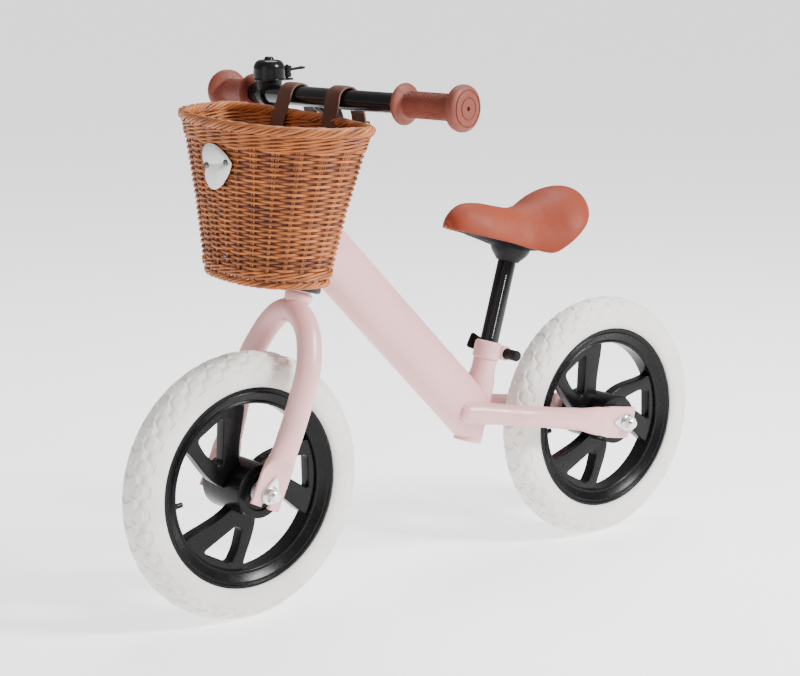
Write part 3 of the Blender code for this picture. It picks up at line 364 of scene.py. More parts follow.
def turned(profile, centre, axis, steps=64, edge=None):
    """Spins a closed outline of (radius, distance) points about an axis, with its corners rounded by edge."""
    if edge:
        profile = softened(profile, edge)
    axis = Vector(axis).normalized()
    side = X_AXIS - axis * axis.dot(X_AXIS)
    if side.length < 0.4:
        side = Z_AXIS - axis * axis.dot(Z_AXIS)
    side.normalize()
    turns = 2 * np.pi * np.arange(steps) / steps
    spokes = np.outer(np.cos(turns), side) + np.outer(np.sin(turns), axis.cross(side))
    rings = [
        np.array(centre) + np.array(axis) * along + spokes * max(radius, 0.0) for radius, along in profile
    ]
    return Shape().skin(rings, wrap=True)


def rod(centre, axis, radius, start, end, steps=32, edge=0.0004):
    return turned([(0, start), (radius, start), (radius, end), (0, end)], centre, axis, steps, edge)


def rectangle(left, right, low, high):
    return [(left, low), (right, low), (right, high), (left, high)]


def squared(values, power):
    """Turns the sines or cosines of a circle into those of a boxier outline."""
    return np.sign(values) * np.abs(values) ** (2 / power)


def oval(centre, across, up, half_width, half_height, power=2.0, count=48):
    turns = 2 * np.pi * (np.arange(count) + 0.5) / count
    x, y = squared(np.cos(turns), power) * half_width, squared(np.sin(turns), power) * half_height
    return np.array(centre) + np.outer(x, across) + np.outer(y, up)


def smooth_path(points, steps):
    """Catmull-Rom curve through the points, with this many spans between each two."""
    points = [Vector(p) for p in points]
    ends = [2 * points[0] - points[1], *points, 2 * points[-1] - points[-2]]
    path = []
    for a, b, c, d in zip(ends, ends[1:], ends[2:], ends[3:]):
        for i in range(steps):
            t = i / steps
            bend = (2 * a - 5 * b + 4 * c - d) * t**2 + (3 * b - a - 3 * c + d) * t**3
            path.append(0.5 * (2 * b + (c - a) * t + bend))
    return [*path, points[-1]]


def tangents(path):
    ahead = path[1:] + [2 * path[-1] - path[-2]]
    behind = [2 * path[0] - path[1]] + path[:-1]
    return [(a - b).normalized() for a, b in zip(ahead, behind)]


def sweep(path, radius, count=32):
    """Rings of a round tube that follows a path."""
    rings = []
    for middle, run in zip(path, tangents(path)):
        across = Y_AXIS - run * run.dot(Y_AXIS)
        if across.length < 0.4:
            across = X_AXIS - run * run.dot(X_AXIS)
        across.normalize()
        rings.append(oval(middle, across, run.cross(across), radius, radius, 2.0, count))
    return rings


def slab(outline, point, across, up, thickness):
    """Extrudes a flat outline, given in two directions from a point, to both sides of its plane."""
    out = across.cross(up).normalized() * thickness / 2
    flat = [Vector(point) + a * across + b * up for a, b in outline]
    return Shape().skin([[p - out for p in flat], [p + out for p in flat]])


def half_space(point, outward, reach=0.25):
    across = outward.orthogonal().normalized()
    up = outward.cross(across)
    near = [point + reach * (a * across + b * up) for a, b in rectangle(-1, 1, -1, 1)]
    return Shape().skin([near, [p + outward * reach for p in near]])


def arc(radius, start, end, count, centre=(0.0, 0.0)):
    turns = [math.radians(start + (end - start) * i / (count - 1)) for i in range(count)]
    return [(centre[0] + radius * math.cos(t), centre[1] + radius * math.sin(t)) for t in turns]


def polar(radius, degrees):
    return (radius * math.cos(math.radians(degrees)), radius * math.sin(math.radians(degrees)))


def between(first, last, t):
    return [a + (b - a) * t for a, b in zip(first, last)]


def in_round(centre, axis, radius):
    """A function that is negative inside an endless round tube."""
    centre, axis = np.array(centre), np.array(axis)

    def depth(points):
        offsets = points - centre
        return np.linalg.norm(offsets - (offsets @ axis)[..., None] * axis, axis=-1) - radius

    return depth


BEAD_STEP, BEAD_RIPPLE = 0.0006, 0.0030


def bead(rings, depth, guide, thickness):
    """A weld bead where the long lines of a tube's skin leave another tube. It is tall along the guide."""
    rings = np.asarray(rings, float)
    values = depth(rings)
    path = []
    for column in range(rings.shape[1]):
        crossed = np.nonzero(values[:-1, column] * values[1:, column] <= 0)[0]
        if len(crossed):
            row = crossed[-1]
            near, far = values[row, column], values[row + 1, column]
            path.append(
                rings[row, column] + (rings[row + 1, column] - rings[row, column]) * near / (near - far)
            )
    path = np.array(path)
    length = np.concatenate([[0], np.cumsum(np.linalg.norm(np.roll(path, -1, axis=0) - path, axis=1))])
    at = np.linspace(0, length[-1], int(length[-1] / BEAD_STEP), endpoint=False)
    loop = np.concatenate([path, path[:1]])
    even = np.stack([np.interp(at, length, loop[:, axis]) for axis in range(3)], axis=1)
    ripple = 1 + 0.16 * np.sin(2 * np.pi * np.round(length[-1] / BEAD_RIPPLE) * at / length[-1])
    shape = Shape()
    cane(shape, even, guide, thickness * ripple, None, True, 0.5, 10)
    return shape


def cane(shape, path, guide, tall, thick=None, closed=False, tone=0.5, sides=8):
    """A cane along a path, tall along the guide direction given at each point and thick across it."""
    path, guide = np.asarray(path), np.asarray(guide)
    if closed:
        run = np.roll(path, -1, axis=0) - np.roll(path, 1, axis=0)
    else:
        run = np.gradient(path, axis=0)
    run /= np.linalg.norm(run, axis=1)[:, None]
    side = np.cross(run, np.broadcast_to(guide, path.shape))
    side /= np.linalg.norm(side, axis=1)[:, None]
    up = np.cross(side, run)
    turns = (2 * np.pi * np.arange(sides) / sides)[None, :, None]
    radii = (tall, tall if thick is None else thick)
    tall, thick = [np.broadcast_to(np.asarray(r, float), (len(path),))[:, None, None] for r in radii]
    outwards, upwards = thick * np.cos(turns) * side[:, None, :], tall * np.sin(turns) * up[:, None, :]
    rings = path[:, None, :] + outwards + upwards
    tone = np.asarray(tone, float)
    tone = tone if tone.ndim == 2 else np.broadcast_to(tone, (len(path),))[:, None]
    shape.skin(rings, wrap=closed, tone=np.broadcast_to(tone, (len(path), sides)).ravel())


# ---------------------------------------------------------------- wheels
TYRE_PROFILE = [
    (RIM_RADIUS + GAP, 0.0122), (RIM_RADIUS + GAP, 0.0178), (0.1150, 0.0200), (0.1185, 0.0214),
    (0.1230, 0.0221), (0.1270, 0.0222), (0.1320, 0.0214), (0.1365, 0.0200), (0.1405, 0.0178),
    (0.1440, 0.0148), (0.1468, 0.0114), (0.1486, 0.0078), (0.1496, 0.0040), (TYRE_RADIUS, 0.0),
]
TREAD_PITCHES = 34
STEPS_PER_PITCH = 24
TREAD_DEPTH = 0.0012
# The tread begins at the shoulder, and it is cut towards a ring inside the tyre.
SHOULDER_RADIUS, CORE_RADIUS = 0.1330, 0.1270
MOULD_RINGS = (0.1240, 0.1262, 0.1284)


def wave(t):
    """A zigzag with flat tops, between -1 and 1, once each unit."""
    return np.clip(3.2 * (1 - 4 * np.abs(t - np.floor(t) - 0.5)), -1, 1)


def smooth_step(value, low, high):
    t = np.clip((value - low) / (high - low), 0, 1)
    return t * t * (3 - 2 * t)


def tread_depth(pitch, side):
    """How far the tread lies below the tyre's skin. pitch counts cells round the wheel, side is in metres."""
    depth = np.zeros_like(pitch * side)
    # A six-sided pocket in each cell of the crown.
    along = (pitch - np.floor(pitch) - 0.5) * 2 * np.pi * TYRE_RADIUS / TREAD_PITCHES
    reach = np.maximum(np.abs(side), 0.866 * np.abs(along) + 0.5 * np.abs(side))
    depth += TREAD_DEPTH * (1 - smooth_step(reach, 0.0073, 0.0078))
    # Two zigzag steps down each shoulder, the outer one half a cell behind the inner one.
    for middle, swing, phase in ((0.0100, 0.0024, 0.25), (0.0163, 0.0021, 0.75)):
        edge = middle + swing * wave(pitch + phase)
        groove = smooth_step(np.abs(side), edge - 0.0002, edge + 0.0003)
        climb = smooth_step(np.abs(side), edge + 0.0020, edge + 0.0056)
        depth += TREAD_DEPTH * groove * (1 - climb)
    return depth


def make_tyre(name, axle, body):
    half = smooth_path([Vector((0, along, radius)) for radius, along in TYRE_PROFILE[1:]], 16)
    kept = [Vector((0, TYRE_PROFILE[0][1], TYRE_PROFILE[0][0])), half[0]]
    for point in half[1:]:
        if (point - kept[-1]).length > (0.00032 if point.z > 0.1345 else 0.0007) or point is half[-1]:
            kept.append(point)
    rings = [(p.z, p.y) for p in kept] + [(p.z, -p.y) for p in kept[-2::-1]]
    foot, foot_half = RIM_BED_RADIUS + GAP, TYRE_PROFILE[0][1]
    rings = [(foot, foot_half), *rings, (foot, -foot_half)]
    steps = TREAD_PITCHES * STEPS_PER_PITCH
    pitch = np.arange(steps) / STEPS_PER_PITCH
    turns = 2 * np.pi * np.arange(steps) / steps
    spokes = np.stack([np.cos(turns), np.zeros(steps), np.sin(turns)], axis=1)
    rows = []
    for radius, along in rings:
        outward = np.array([max(radius - CORE_RADIUS, 0.0), along * 0.6])
        length = np.linalg.norm(outward)
        depth = tread_depth(pitch, np.full(steps, along)) if radius > SHOULDER_RADIUS else np.zeros(steps)
        # Fine mould rings on the sidewall.
        for ring in MOULD_RINGS:
            depth += 0.0003 * math.exp(-(((radius - ring) / 0.0005) ** 2))
        outward = outward / length if length > 1e-6 else np.array([1.0, 0.0])
        row = spokes * (radius - depth * outward[0])[:, None]
        row[:, 1] = along - depth * outward[1]
        rows.append(row + np.array(axle))
    tyre = thing(name, Shape().skin(rows, wrap=True))
    place(tyre, body, "white_foam", f"{body.split('_')[0]}_tyre", look=TYRE_FOAM, sharp=40)


def swirl(inner, outer, count):
    """Points on an arm's edge, whose angle changes fastest near the hub."""
    points = []
    for i in range(count):
        t = i / (count - 1)
        radius, _ = between(inner, outer, t)
        _, degrees = between(inner, outer, math.sin(t * math.pi / 2))
        points.append(polar(radius, degrees))
    return points


def rounded(outline, radius, steps=6):
    """A flat closed outline with every corner rounded, also where it crosses zero."""
    shift = 10.0
    return [(a - shift, b) for a, b in softened([(a + shift, b) for a, b in outline], radius, steps)]


def mirrored(half):
    """The other half of a symmetric (radius, distance) outline."""
    return [(radius, -along) for radius, along in half[::-1]]


RIB_HALF = 0.0004
RIB_CORNERS = ((-1, -1), (1, -1), (0.6, 1), (-0.6, 1))


def make_rim(name, axle, body):
    """Rim bed with dished sides, a hub, and three pairs of swept spokes with a window in each pair."""
    groove, lip = 0.0126, 0.0165
    half = [
        (RIM_BED_RADIUS, groove), (RIM_RADIUS, groove), (RIM_RADIUS, lip), (0.1092, lip),
        (0.1084, lip - 0.0014), (0.1068, lip - 0.0014), (0.1060, lip - 0.0004), (0.1046, lip - 0.0012),
        (0.0970, 0.0104), (0.0958, 0.0116), (0.0944, 0.0114), (RIM_INNER_RADIUS, 0.0098),
    ]
    rim = thing(name, turned([*half, *mirrored(half)], axle, Y_AXIS, 240, 0.0007))
    reach, foot = RIM_INNER_RADIUS + 0.0040, HUB_RADIUS - 0.0040
    hub = thing("hub", rod(axle, Y_AXIS, HUB_RADIUS, -HUB_HALF_LENGTH, HUB_HALF_LENGTH, 96, 0.0018))
    arms = []
    for number in range(3):
        middle = FIRST_SPOKE_GROUP + 120 * number
        leading = swirl((foot, middle + 14), (reach, middle + 31), 16)
        trailing = swirl((foot, middle - 56), (reach, middle - 25), 16)
        rim_side = arc(reach, middle + 31, middle - 25, 16)[1:-1]
        arm = thing("arm", slab([*leading, *rim_side, *trailing[::-1]], axle, X_AXIS, Z_AXIS, WEB_THICKNESS))
        corners = [polar(0.0868, middle + 12.5), polar(0.0868, middle - 14.5), polar(0.0700, middle - 18.5),
                   polar(0.0470, middle - 21), polar(0.0440, middle - 12)]
        outline = rounded(corners, 0.0058, 8)
        boolean(arm, "DIFFERENCE", slab(outline, axle, X_AXIS, Z_AXIS, 0.05))
        arms.append(bevelled(arm, 0.0024, 5, 50))
    boolean(rim, "UNION", *arms, hub)
    # A stepped recess in each end of the hub, and fine ribs that stand on the dished face.
    bore, seat = 0.0130 + GAP, HUB_HALF_LENGTH - 0.0080
    face = HUB_HALF_LENGTH - 0.0022
    half = [
        (0.0070, seat), (bore, seat), (bore, face), (0.0200, face), (0.0215, HUB_HALF_LENGTH - 0.0012),
        (0.0215, 0.05), (0, 0.05)
    ]
    boolean(rim, "DIFFERENCE", turned([*mirrored(half), *half], axle, Y_AXIS, 96))
    ribs = Shape()
    for side in (1, -1):
        for number in range(90):
            run = Vector((*polar(1.0, 4.0 * number), 0)).xzy
            across, out = Y_AXIS.cross(run), Y_AXIS * side
            rings = []
            for radius, along in ((0.0972, 0.0100), (0.0990, 0.0112), (0.1045, 0.0150), (0.1049, 0.0146)):
                centre = axle + run * radius + out * along
                rings.append([centre + across * a * RIB_HALF + out * b * RIB_HALF for a, b in RIB_CORNERS])
            ribs.skin(rings)
    run = Vector((*polar(1.0, -6.0), 0)).xzy
    valve = [(0, 0.0795), (0.0026, 0.0795), (0.0030, 0.0800), (0.0030, 0.0880), (0.0042, 0.0885),
             (0.0042, 0.0945), (0, 0.0945)]
    rim = merged(name, rim, thing("ribs", ribs), thing("valve", turned(valve, axle, run, 32, 0.0008)))
    place(rim, body, "black_plastic", f"{body.split('_')[0]}_rim", look=RIM_PLASTIC, sharp=32)


for side, axle in (("front", FRONT_AXLE), ("rear", REAR_AXLE)):
    make_tyre(f"{side}_foam_tyre", axle, f"{side}_wheel")
    make_rim(f"{side}_moulded_rim", axle, f"{side}_wheel")


# ---------------------------------------------------------------- frame
FLAT = (0.00225, 0.0195, 7.0)
STAY_ROUND = (0.0127, 0.0127, 2.0)
STAY_POINTS = [
    ((-0.0275, 0.0150, 0.1920), (0.0040, 0.0040, 2.0)), ((-0.0325, 0.0172, 0.1914), (0.0100, 0.0100, 2.0)),
    ((-0.0400, 0.0200, 0.1905), STAY_ROUND), ((-0.0800, 0.0300, 0.1840), STAY_ROUND),
    ((-0.1120, 0.0415, 0.1790), STAY_ROUND), ((-0.1500, 0.0462, 0.1725), STAY_ROUND),
    ((-0.1900, 0.0480, 0.1650), (0.0120, 0.0138, 2.0)), ((-0.2250, 0.0490, 0.1575), (0.0058, 0.0175, 2.6)),
    ((-0.2480, 0.0495, 0.1530), FLAT), ((-0.2820, 0.0495, 0.1475), FLAT),
]
LEG_ROUND = (0.0138, 0.0138, 2.0)
LEG_POINTS = [
    ((0.2000, 0.0000, 0.3375), LEG_ROUND), ((0.2018, 0.0180, 0.3335), LEG_ROUND),
    ((0.2042, 0.0320, 0.3230), LEG_ROUND), ((0.2088, 0.0430, 0.3080), LEG_ROUND),
    ((0.2180, 0.0540, 0.2820), LEG_ROUND), ((0.2298, 0.0560, 0.2500), LEG_ROUND),
    ((0.2401, 0.0545, 0.2200), LEG_ROUND), ((0.2504, 0.0520, 0.1920), (0.0110, 0.0152, 2.1)),
    ((0.2605, 0.0495, 0.1680), FLAT), ((0.2755, 0.0495, 0.1360), FLAT),
]
PATH_STEPS = 10


def pressed_tube_rings(points, sign, shrink=0.0):
    """Rings of a tube along its points, each with its half width, half height and squareness there."""
    places = [(x, y * sign, z) for (x, y, z), _ in points]
    if places[0][1] == 0:
        # A tube that starts on the centre plane runs straight on into its mirror image.
        through = [(places[1][0], -places[1][1], places[1][2]), *places]
        centres = smooth_path(through, PATH_STEPS)
        runs = tangents(centres)[PATH_STEPS:]
        centres = centres[PATH_STEPS:]
    else:
        centres = smooth_path(places, PATH_STEPS)
        runs = tangents(centres)
    sections = [section for _, section in points]
    sizes = []
    for first, last in zip(sections, sections[1:]):
        eased = [(1 - math.cos(math.pi * i / PATH_STEPS)) / 2 for i in range(PATH_STEPS)]
        sizes += [between(first, last, t) for t in eased]
    sizes.append(sections[-1])
    rings = []
    for middle, run, (width, height, power) in zip(centres, runs, sizes):
        sideways = run.y if width > 0.008 else 0.0
        run = Vector((run.x, sideways, run.z)).normalized()
        across = X_AXIS.cross(run) if abs(run.y) > 0.9 else Y_AXIS - run * run.dot(Y_AXIS)
        across = across.normalized()
        rings.append(oval(middle, across, run.cross(across), width - shrink, height - shrink, power, 56))
    return rings


def pressed_tube(points, sign, open_points):
    """The tube as a wall: hollow from its first point over the open ones, then solid and flat."""
    outer = np.array(pressed_tube_rings(points, sign))
    inner = np.array(pressed_tube_rings(points, sign, TUBE_WALL))[: open_points * PATH_STEPS]
    return Shape().skin(np.concatenate([inner[::-1], outer]))


def end_run(points):
    run = Vector(points[-1][0]) - Vector(points[-2][0])
    return Vector((run.x, 0, run.z)).normalized()


def dropout_cutters(axle, run, sign):
    """An open-ended slot for the axle, and the small hole that the retainer's tab hooks into."""
    middle = axle + Y_AXIS * sign * 0.04955
    outline = [*arc(AXLE_HOLE_RADIUS, 90, 270, 25), (0.05, -AXLE_HOLE_RADIUS), (0.05, AXLE_HOLE_RADIUS)]
    return (slab(outline, middle, run, Y_AXIS.cross(run), 0.012),
            rod(middle - run * 0.0175, Y_AXIS, 0.0024, -0.006, 0.006, 32))


def seat_tube_profile(grow):
    return [
        (SEAT_TUBE_RADIUS + grow, 0.0), (SEAT_TUBE_RADIUS + grow, 0.0720), (SEAT_TUBE_NECK + grow, 0.0880),
        (SEAT_TUBE_NECK + grow, SEAT_TUBE_LENGTH)
    ]


def down_tube_rings(shrink, spans=24):
    up = DOWN_TUBE_RUN.cross(Y_AXIS)
    wide, tall = DOWN_TUBE_HALF_WIDTH - shrink, DOWN_TUBE_HALF_HEIGHT - shrink
    rings = []
    for i in range(spans + 1):
        centre = DOWN_TUBE_TOP + DOWN_TUBE_RUN * DOWN_TUBE_LENGTH * i / spans
        rings.append(oval(centre, Y_AXIS, up, wide, tall, DOWN_TUBE_POWER, 96))
    return rings


def tube_profile(outside, bore, rounding=0.0005):
    """A turned tube's outline, from the outside's first point, closed by a straight bore."""
    return softened([*outside, (bore, outside[-1][1]), (bore, outside[0][1])], rounding)


def make_frame():
    outside = [(HEAD_TUBE_RADIUS, HEAD_TUBE_START), (HEAD_TUBE_RADIUS, HEAD_TUBE_END)]
    head = thing("painted_head_tube", turned(tube_profile(outside, 0.0155), CROWN, STEER_UP, 96))
    place(head, "frame", "pink_paint", "head_tube", look=PINK)

    # The seat tube necks in below the clamp, along an eased curve.
    narrowing = SEAT_TUBE_NECK - SEAT_TUBE_RADIUS
    waist = [
        (SEAT_TUBE_RADIUS + narrowing * (1 - math.cos(math.pi * i / 10)) / 2, 0.0720 + 0.0160 * i / 10)
        for i in range(11)
    ]
    bore = SEAT_POST_RADIUS + GAP
    profile = [
        (SEAT_TUBE_RADIUS - 0.0006, 0.0), (SEAT_TUBE_RADIUS, 0.0006), *waist,
        (SEAT_TUBE_NECK, SEAT_TUBE_LENGTH), (bore, SEAT_TUBE_LENGTH), (bore, 0.0)
    ]
    seat = thing("painted_seat_tube", turned(profile, SEAT_FOOT, SEAT_UP, 96))
    place(seat, "frame", "pink_paint", "seat_tube", look=PINK)

    outer, inner = down_tube_rings(0), down_tube_rings(TUBE_WALL)
    down = thing("painted_down_tube", Shape().skin([*outer, *inner[::-1]], wrap=True))
    outside = seat_tube_profile(GAP)
    envelope = [(0, -0.04), (outside[0][0], -0.04), *outside[1:3], (outside[3][0], 0.2), (0, 0.2)]
    boolean(
        down, "DIFFERENCE", rod(CROWN, STEER_UP, HEAD_TUBE_RADIUS + GAP, -0.05, 0.2, 96),
        turned(envelope, SEAT_FOOT, SEAT_UP, 96),
        half_space(SEAT_FOOT + SEAT_FORWARD * 0.0015, -SEAT_FORWARD), half_space(SEAT_FOOT, -SEAT_UP),
        half_space(CROWN, STEER_FORWARD)
    )
    place(down, "frame", "pink_paint", "down_tube", look=PINK, sharp=30)

    run = end_run(STAY_POINTS)
    corner = REAR_AXLE + run * 0.0100 - Z_AXIS * 0.0115
    for name, sign in SIDES:
        stay = thing(f"painted_{name}_chainstay", pressed_tube(STAY_POINTS, sign, 6))
        boolean(stay, "DIFFERENCE", *dropout_cutters(REAR_AXLE, run, sign),
                half_space(corner, Vector((-0.62, 0, -0.78)).normalized()))
        place(bevelled(stay, 0.0005, 2, 60), "frame", "pink_paint", f"{name}_chainstay", look=PINK, sharp=30)


def make_fork():
    ring = [(0.0150, -0.0080), (0.0156, -0.0040), (0.0156, 0.0000), (STEERER_RADIUS, 0.0020)]
    bottom, top, bore = -0.0320, 0.1150, 0.0112
    outline = [
        (STEERER_RADIUS, bottom), (STEERER_RADIUS, -0.0095), *ring, (STEERER_RADIUS, top), (bore, top),
        (bore, bottom)
    ]
    steerer = thing("painted_steerer", turned(outline, CROWN, STEER_UP, 96, 0.0006))
    place(steerer, "steering", "pink_paint", "fork_steerer", look=PINK)
    run = end_run(LEG_POINTS)
    for name, sign in SIDES:
        leg = thing(f"painted_fork_{name}_leg", pressed_tube(LEG_POINTS, sign, 5))
        boolean(leg, "DIFFERENCE", *dropout_cutters(FRONT_AXLE, run, sign))
        place(bevelled(leg, 0.0005, 2, 60), "steering", "pink_paint", f"fork_{name}_leg", look=PINK, sharp=30)


def in_down_tube(points):
    """Negative inside the down tube."""
    offsets = points - np.array(DOWN_TUBE_TOP)
    across = offsets @ np.array(Y_AXIS) / DOWN_TUBE_HALF_WIDTH
    up = offsets @ np.array(DOWN_TUBE_RUN.cross(Y_AXIS)) / DOWN_TUBE_HALF_HEIGHT
    return np.abs(across) ** DOWN_TUBE_POWER + np.abs(up) ** DOWN_TUBE_POWER - 1


def make_welds():
    """Ripples of weld metal under the paint where one tube runs into another."""
    at_head = in_round(CROWN, STEER_UP, HEAD_TUBE_RADIUS)
    at_seat = in_round(SEAT_FOOT, SEAT_UP, SEAT_TUBE_RADIUS)
    joins = [bead(down_tube_rings(0, 60), at_head, DOWN_TUBE_RUN, 0.0016)]
    for _, sign in SIDES:
        stay = pressed_tube_rings(STAY_POINTS[:5], sign)
        run = (Vector(STAY_POINTS[2][0]) - Vector(STAY_POINTS[0][0])) * Vector((1, sign, 1))
        joins.append(
            bead(stay, lambda points: np.minimum(in_down_tube(points), at_seat(points)), run, 0.0015)
        )
    for number, shape in enumerate(joins, 1):
        place(thing(f"weld_bead_{number}", shape), "frame", "pink_paint", look=PINK)
    # The last bead lies where the steerer runs out of the bent tube of the fork.
    steerer = [oval(CROWN - STEER_UP * below, Y_AXIS, STEER_FORWARD, STEERER_RADIUS, STEERER_RADIUS, 2.0, 96)
               for below in (0.0080, 0.0140, 0.0200, 0.0300)]
    top = np.array(LEG_POINTS[0][0])
    ring = bead(
        steerer, lambda points: 0.0140 - np.linalg.norm((points - top)[..., [0, 2]], axis=-1), STEER_UP,
        0.0014
    )
    place(thing("crown_weld", ring), "steering", "pink_paint", look=PINK)


make_frame()
make_fork()
make_welds()


# ---------------------------------------------------------------- axle hardware
def make_axle_set(side, axle, body, points):
    """Threaded axle, stepped spacers, tabbed washers and flanged hex nuts."""
    ends, root, crest, clear = 0.0665, 0.0044, 0.0050, AXLE_HOLE_RADIUS
    thread = [(0, -ends)]
    for turn in range(12):
        low = -ends + 0.0006 + 0.0009 * turn
        thread += [(root, low), (crest, low + 0.00045)]
    thread.append((crest, -0.0550))
    threaded = turned([*thread, *mirrored(thread)], axle, Y_AXIS, 48)
    place(thing(f"{side}_threaded_axle", threaded), body, "zinc_steel", f"{side}_axle", look=ZINC, sharp=20)
    tab = -end_run(points)
    for name, sign in SIDES:
        out = Y_AXIS * sign
        spacer = [(0.0085, 0.0353), (0.0085, 0.0430), (0.0105, 0.0445), (0.0105, 0.0470)]
        ring = thing(f"{side}_{name}_axle_spacer", turned(tube_profile(spacer, clear), axle, out, 64))
        place(ring, body, "zinc_steel", f"{side}_{name}_spacer", look=ZINC)
        outline = [*arc(0.0105, 65, 295, 40), *arc(0.0032, -60, 60, 12, centre=(0.0175, 0.0))]
        washer = thing("washer", slab(outline, axle + out * 0.05285, tab, out.cross(tab), 0.0015))
        boolean(washer, "DIFFERENCE", rod(axle, out, clear, 0.04, 0.07, 48))
        hook = rectangle(0.0168, 0.0190, -0.0020, 0.0020)
        lip = thing("lip", slab(hook, axle + out * 0.0512, tab, out.cross(tab), 0.0030))
        washer = merged(f"{side}_{name}_tab_washer", bevelled(washer, 0.00025, 2), bevelled(lip, 0.0005, 2))
        place(washer, body, "zinc_steel", f"{side}_{name}_retainer", look=ZINC)
        # The two nuts of an axle never stop at the same angle.
        foot, lean = 0.0539, math.radians(17.0 if sign > 0 else 43.0)
        flats = [polar(0.0081, 60 * k + math.degrees(lean)) for k in range(6)]
        nut = thing("nut", slab(flats, axle + out * (foot + 0.0046), X_AXIS, Z_AXIS, 0.0078))
        dome = [
            (0, foot), (0.0098, foot), (0.0098, foot + 0.0012), (0.0090, foot + 0.0018),
            (0.0083, foot + 0.0022), (0.0083, foot + 0.0073), (0.0072, foot + 0.0085), (0, foot + 0.0085)
        ]
        boolean(nut, "INTERSECT", turned(dome, axle, out, 96))
        flange = [
            (clear, foot), (0.0098, foot), (0.0098, foot + 0.0010), (0.0084, foot + 0.0021),
            (clear, foot + 0.0021)
        ]
        boolean(nut, "DIFFERENCE", rod(axle, out, clear, 0.04, 0.08, 48))
        nut = merged(f"{side}_{name}_flange_nut", nut, thing("flange", turned(flange, axle, out, 96, 0.0004)))
        place(nut, body, "zinc_steel", f"{side}_{name}_nut", look=ZINC, sharp=25)


make_axle_set("front", FRONT_AXLE, "steering", LEG_POINTS)
make_axle_set("rear", REAR_AXLE, "frame", STAY_POINTS)


# ---------------------------------------------------------------- headset, stem and bar
def make_headset():
    bore = 0.0133
    for name, base, out in (("lower", HEAD_TUBE_START, -1), ("upper", HEAD_TUBE_END, 1)):
        outline = [
            (0.0205, GAP), (0.0214, 0.0008), (0.0214, 0.0022), (0.0230, 0.0034), (0.0230, 0.0082),
            (0.0212, 0.0100), (0.0183, 0.0100), (0.0183, 0.0040), (bore, 0.0040), (bore, GAP)
        ]
        cup = thing(
            f"{name}_pressed_cup", turned(outline, CROWN + STEER_UP * base, STEER_UP * out, 96, 0.0005)
        )
        place(cup, "frame", "black_plastic", f"{name}_headset_cup", look=BLACK_PAINT)
    start = HEAD_TUBE_END + 0.0103
    outline = [
        (0.0190, start), (0.0190, start + 0.0050), (0.0160, start + 0.0075), (bore, start + 0.0075),
        (bore, start)
    ]
    nut = thing("ridged_locknut", turned(outline, CROWN, STEER_UP, 96, 0.0008))
    place(nut, "steering", "black_plastic", "headset_locknut", look=BLACK_PAINT)


def handlebar_path(spans=24):
    """Straight in the middle, then bent back and a little down on each side, and a degree out of level."""
    drop = Vector((0, 0, -math.tan(BAR_TILT)))
    half = [Vector((0, 0.0450, 0))]
    for i in range(1, spans + 1):
        turn = BAR_SWEEP * i / spans
        bend = Vector((math.cos(turn) - 1, math.sin(turn), 0)) * 0.0800
        half.append(half[0] + bend + drop * bend.y)
    run = Vector((-math.tan(BAR_SWEEP), 1, 0)) + drop
    half.append(half[-1] + run * (BAR_HALF_WIDTH - half[-1].y))
    path = [Vector((p.x, -p.y, p.z)) for p in half[::-1]] + half
    level = Matrix.Rotation(BAR_TILT, 3, "X")
    return [BAR_CENTRE + level @ p for p in path]


def on_bar(sideways, spans=3):
    """The point of the bar's centre line at this distance to one side, and the direction it runs out in."""
    path = handlebar_path(spans)
    start, end = next((a, b) for a, b in zip(path, path[1:]) if a.y <= sideways <= b.y)
    outward = (end - start).normalized() * math.copysign(1, sideways)
    return start.lerp(end, (sideways - start.y) / (end.y - start.y)), outward


def stem_path():
    corner = CROWN + STEER_UP * STEM_BEND
    bar = Vector((BAR_CENTRE.x, 0, BAR_CENTRE.z))
    start, end = corner - STEER_UP * 0.0350, corner.lerp(bar, 0.62)
    bend = [start * (1 - t) ** 2 + corner * 2 * t * (1 - t) + end * t**2 for t in (i / 24 for i in range(25))]
    return [CROWN + STEER_UP * 0.0450, *bend, bar]


def make_stem():
    """The quill is cut off aslant for its wedge. Its bores take the wedge, the bolt and the bolt's head."""
    slant = (STEER_UP + STEER_FORWARD).normalized()
    stem = thing("painted_stem", Shape().skin(sweep(stem_path(), 0.0108, 64)))
    bores = [
        rod(CROWN, STEER_UP, radius, start, end, 48)
        for radius, start, end in ((0.0085, 0.0, 0.1550), (0.0043, 0.0, 0.2000), (0.0074, 0.1877, 0.2500))
    ]
    boolean(stem, "DIFFERENCE", Shape().skin(sweep(handlebar_path(8), BAR_RADIUS + GAP, 64)),
            half_space(CROWN + STEER_UP * 0.0750, -slant), *bores)
    place(stem, "steering", "black_paint", "stem", look=BLACK_PAINT, sharp=30)
    path = handlebar_path()
    outer, inner = sweep(path, BAR_RADIUS, 64), sweep(path, BAR_RADIUS - TUBE_WALL, 64)
    bar = thing("painted_handlebar", Shape().skin([*outer, *inner[::-1]], wrap=True))
    place(bar, "steering", "black_paint", "handlebar", look=BLACK_PAINT)


GRIP_RADIUS = 0.0138
GRIP_RIBS, RIB_BLOCKS = 44, 12


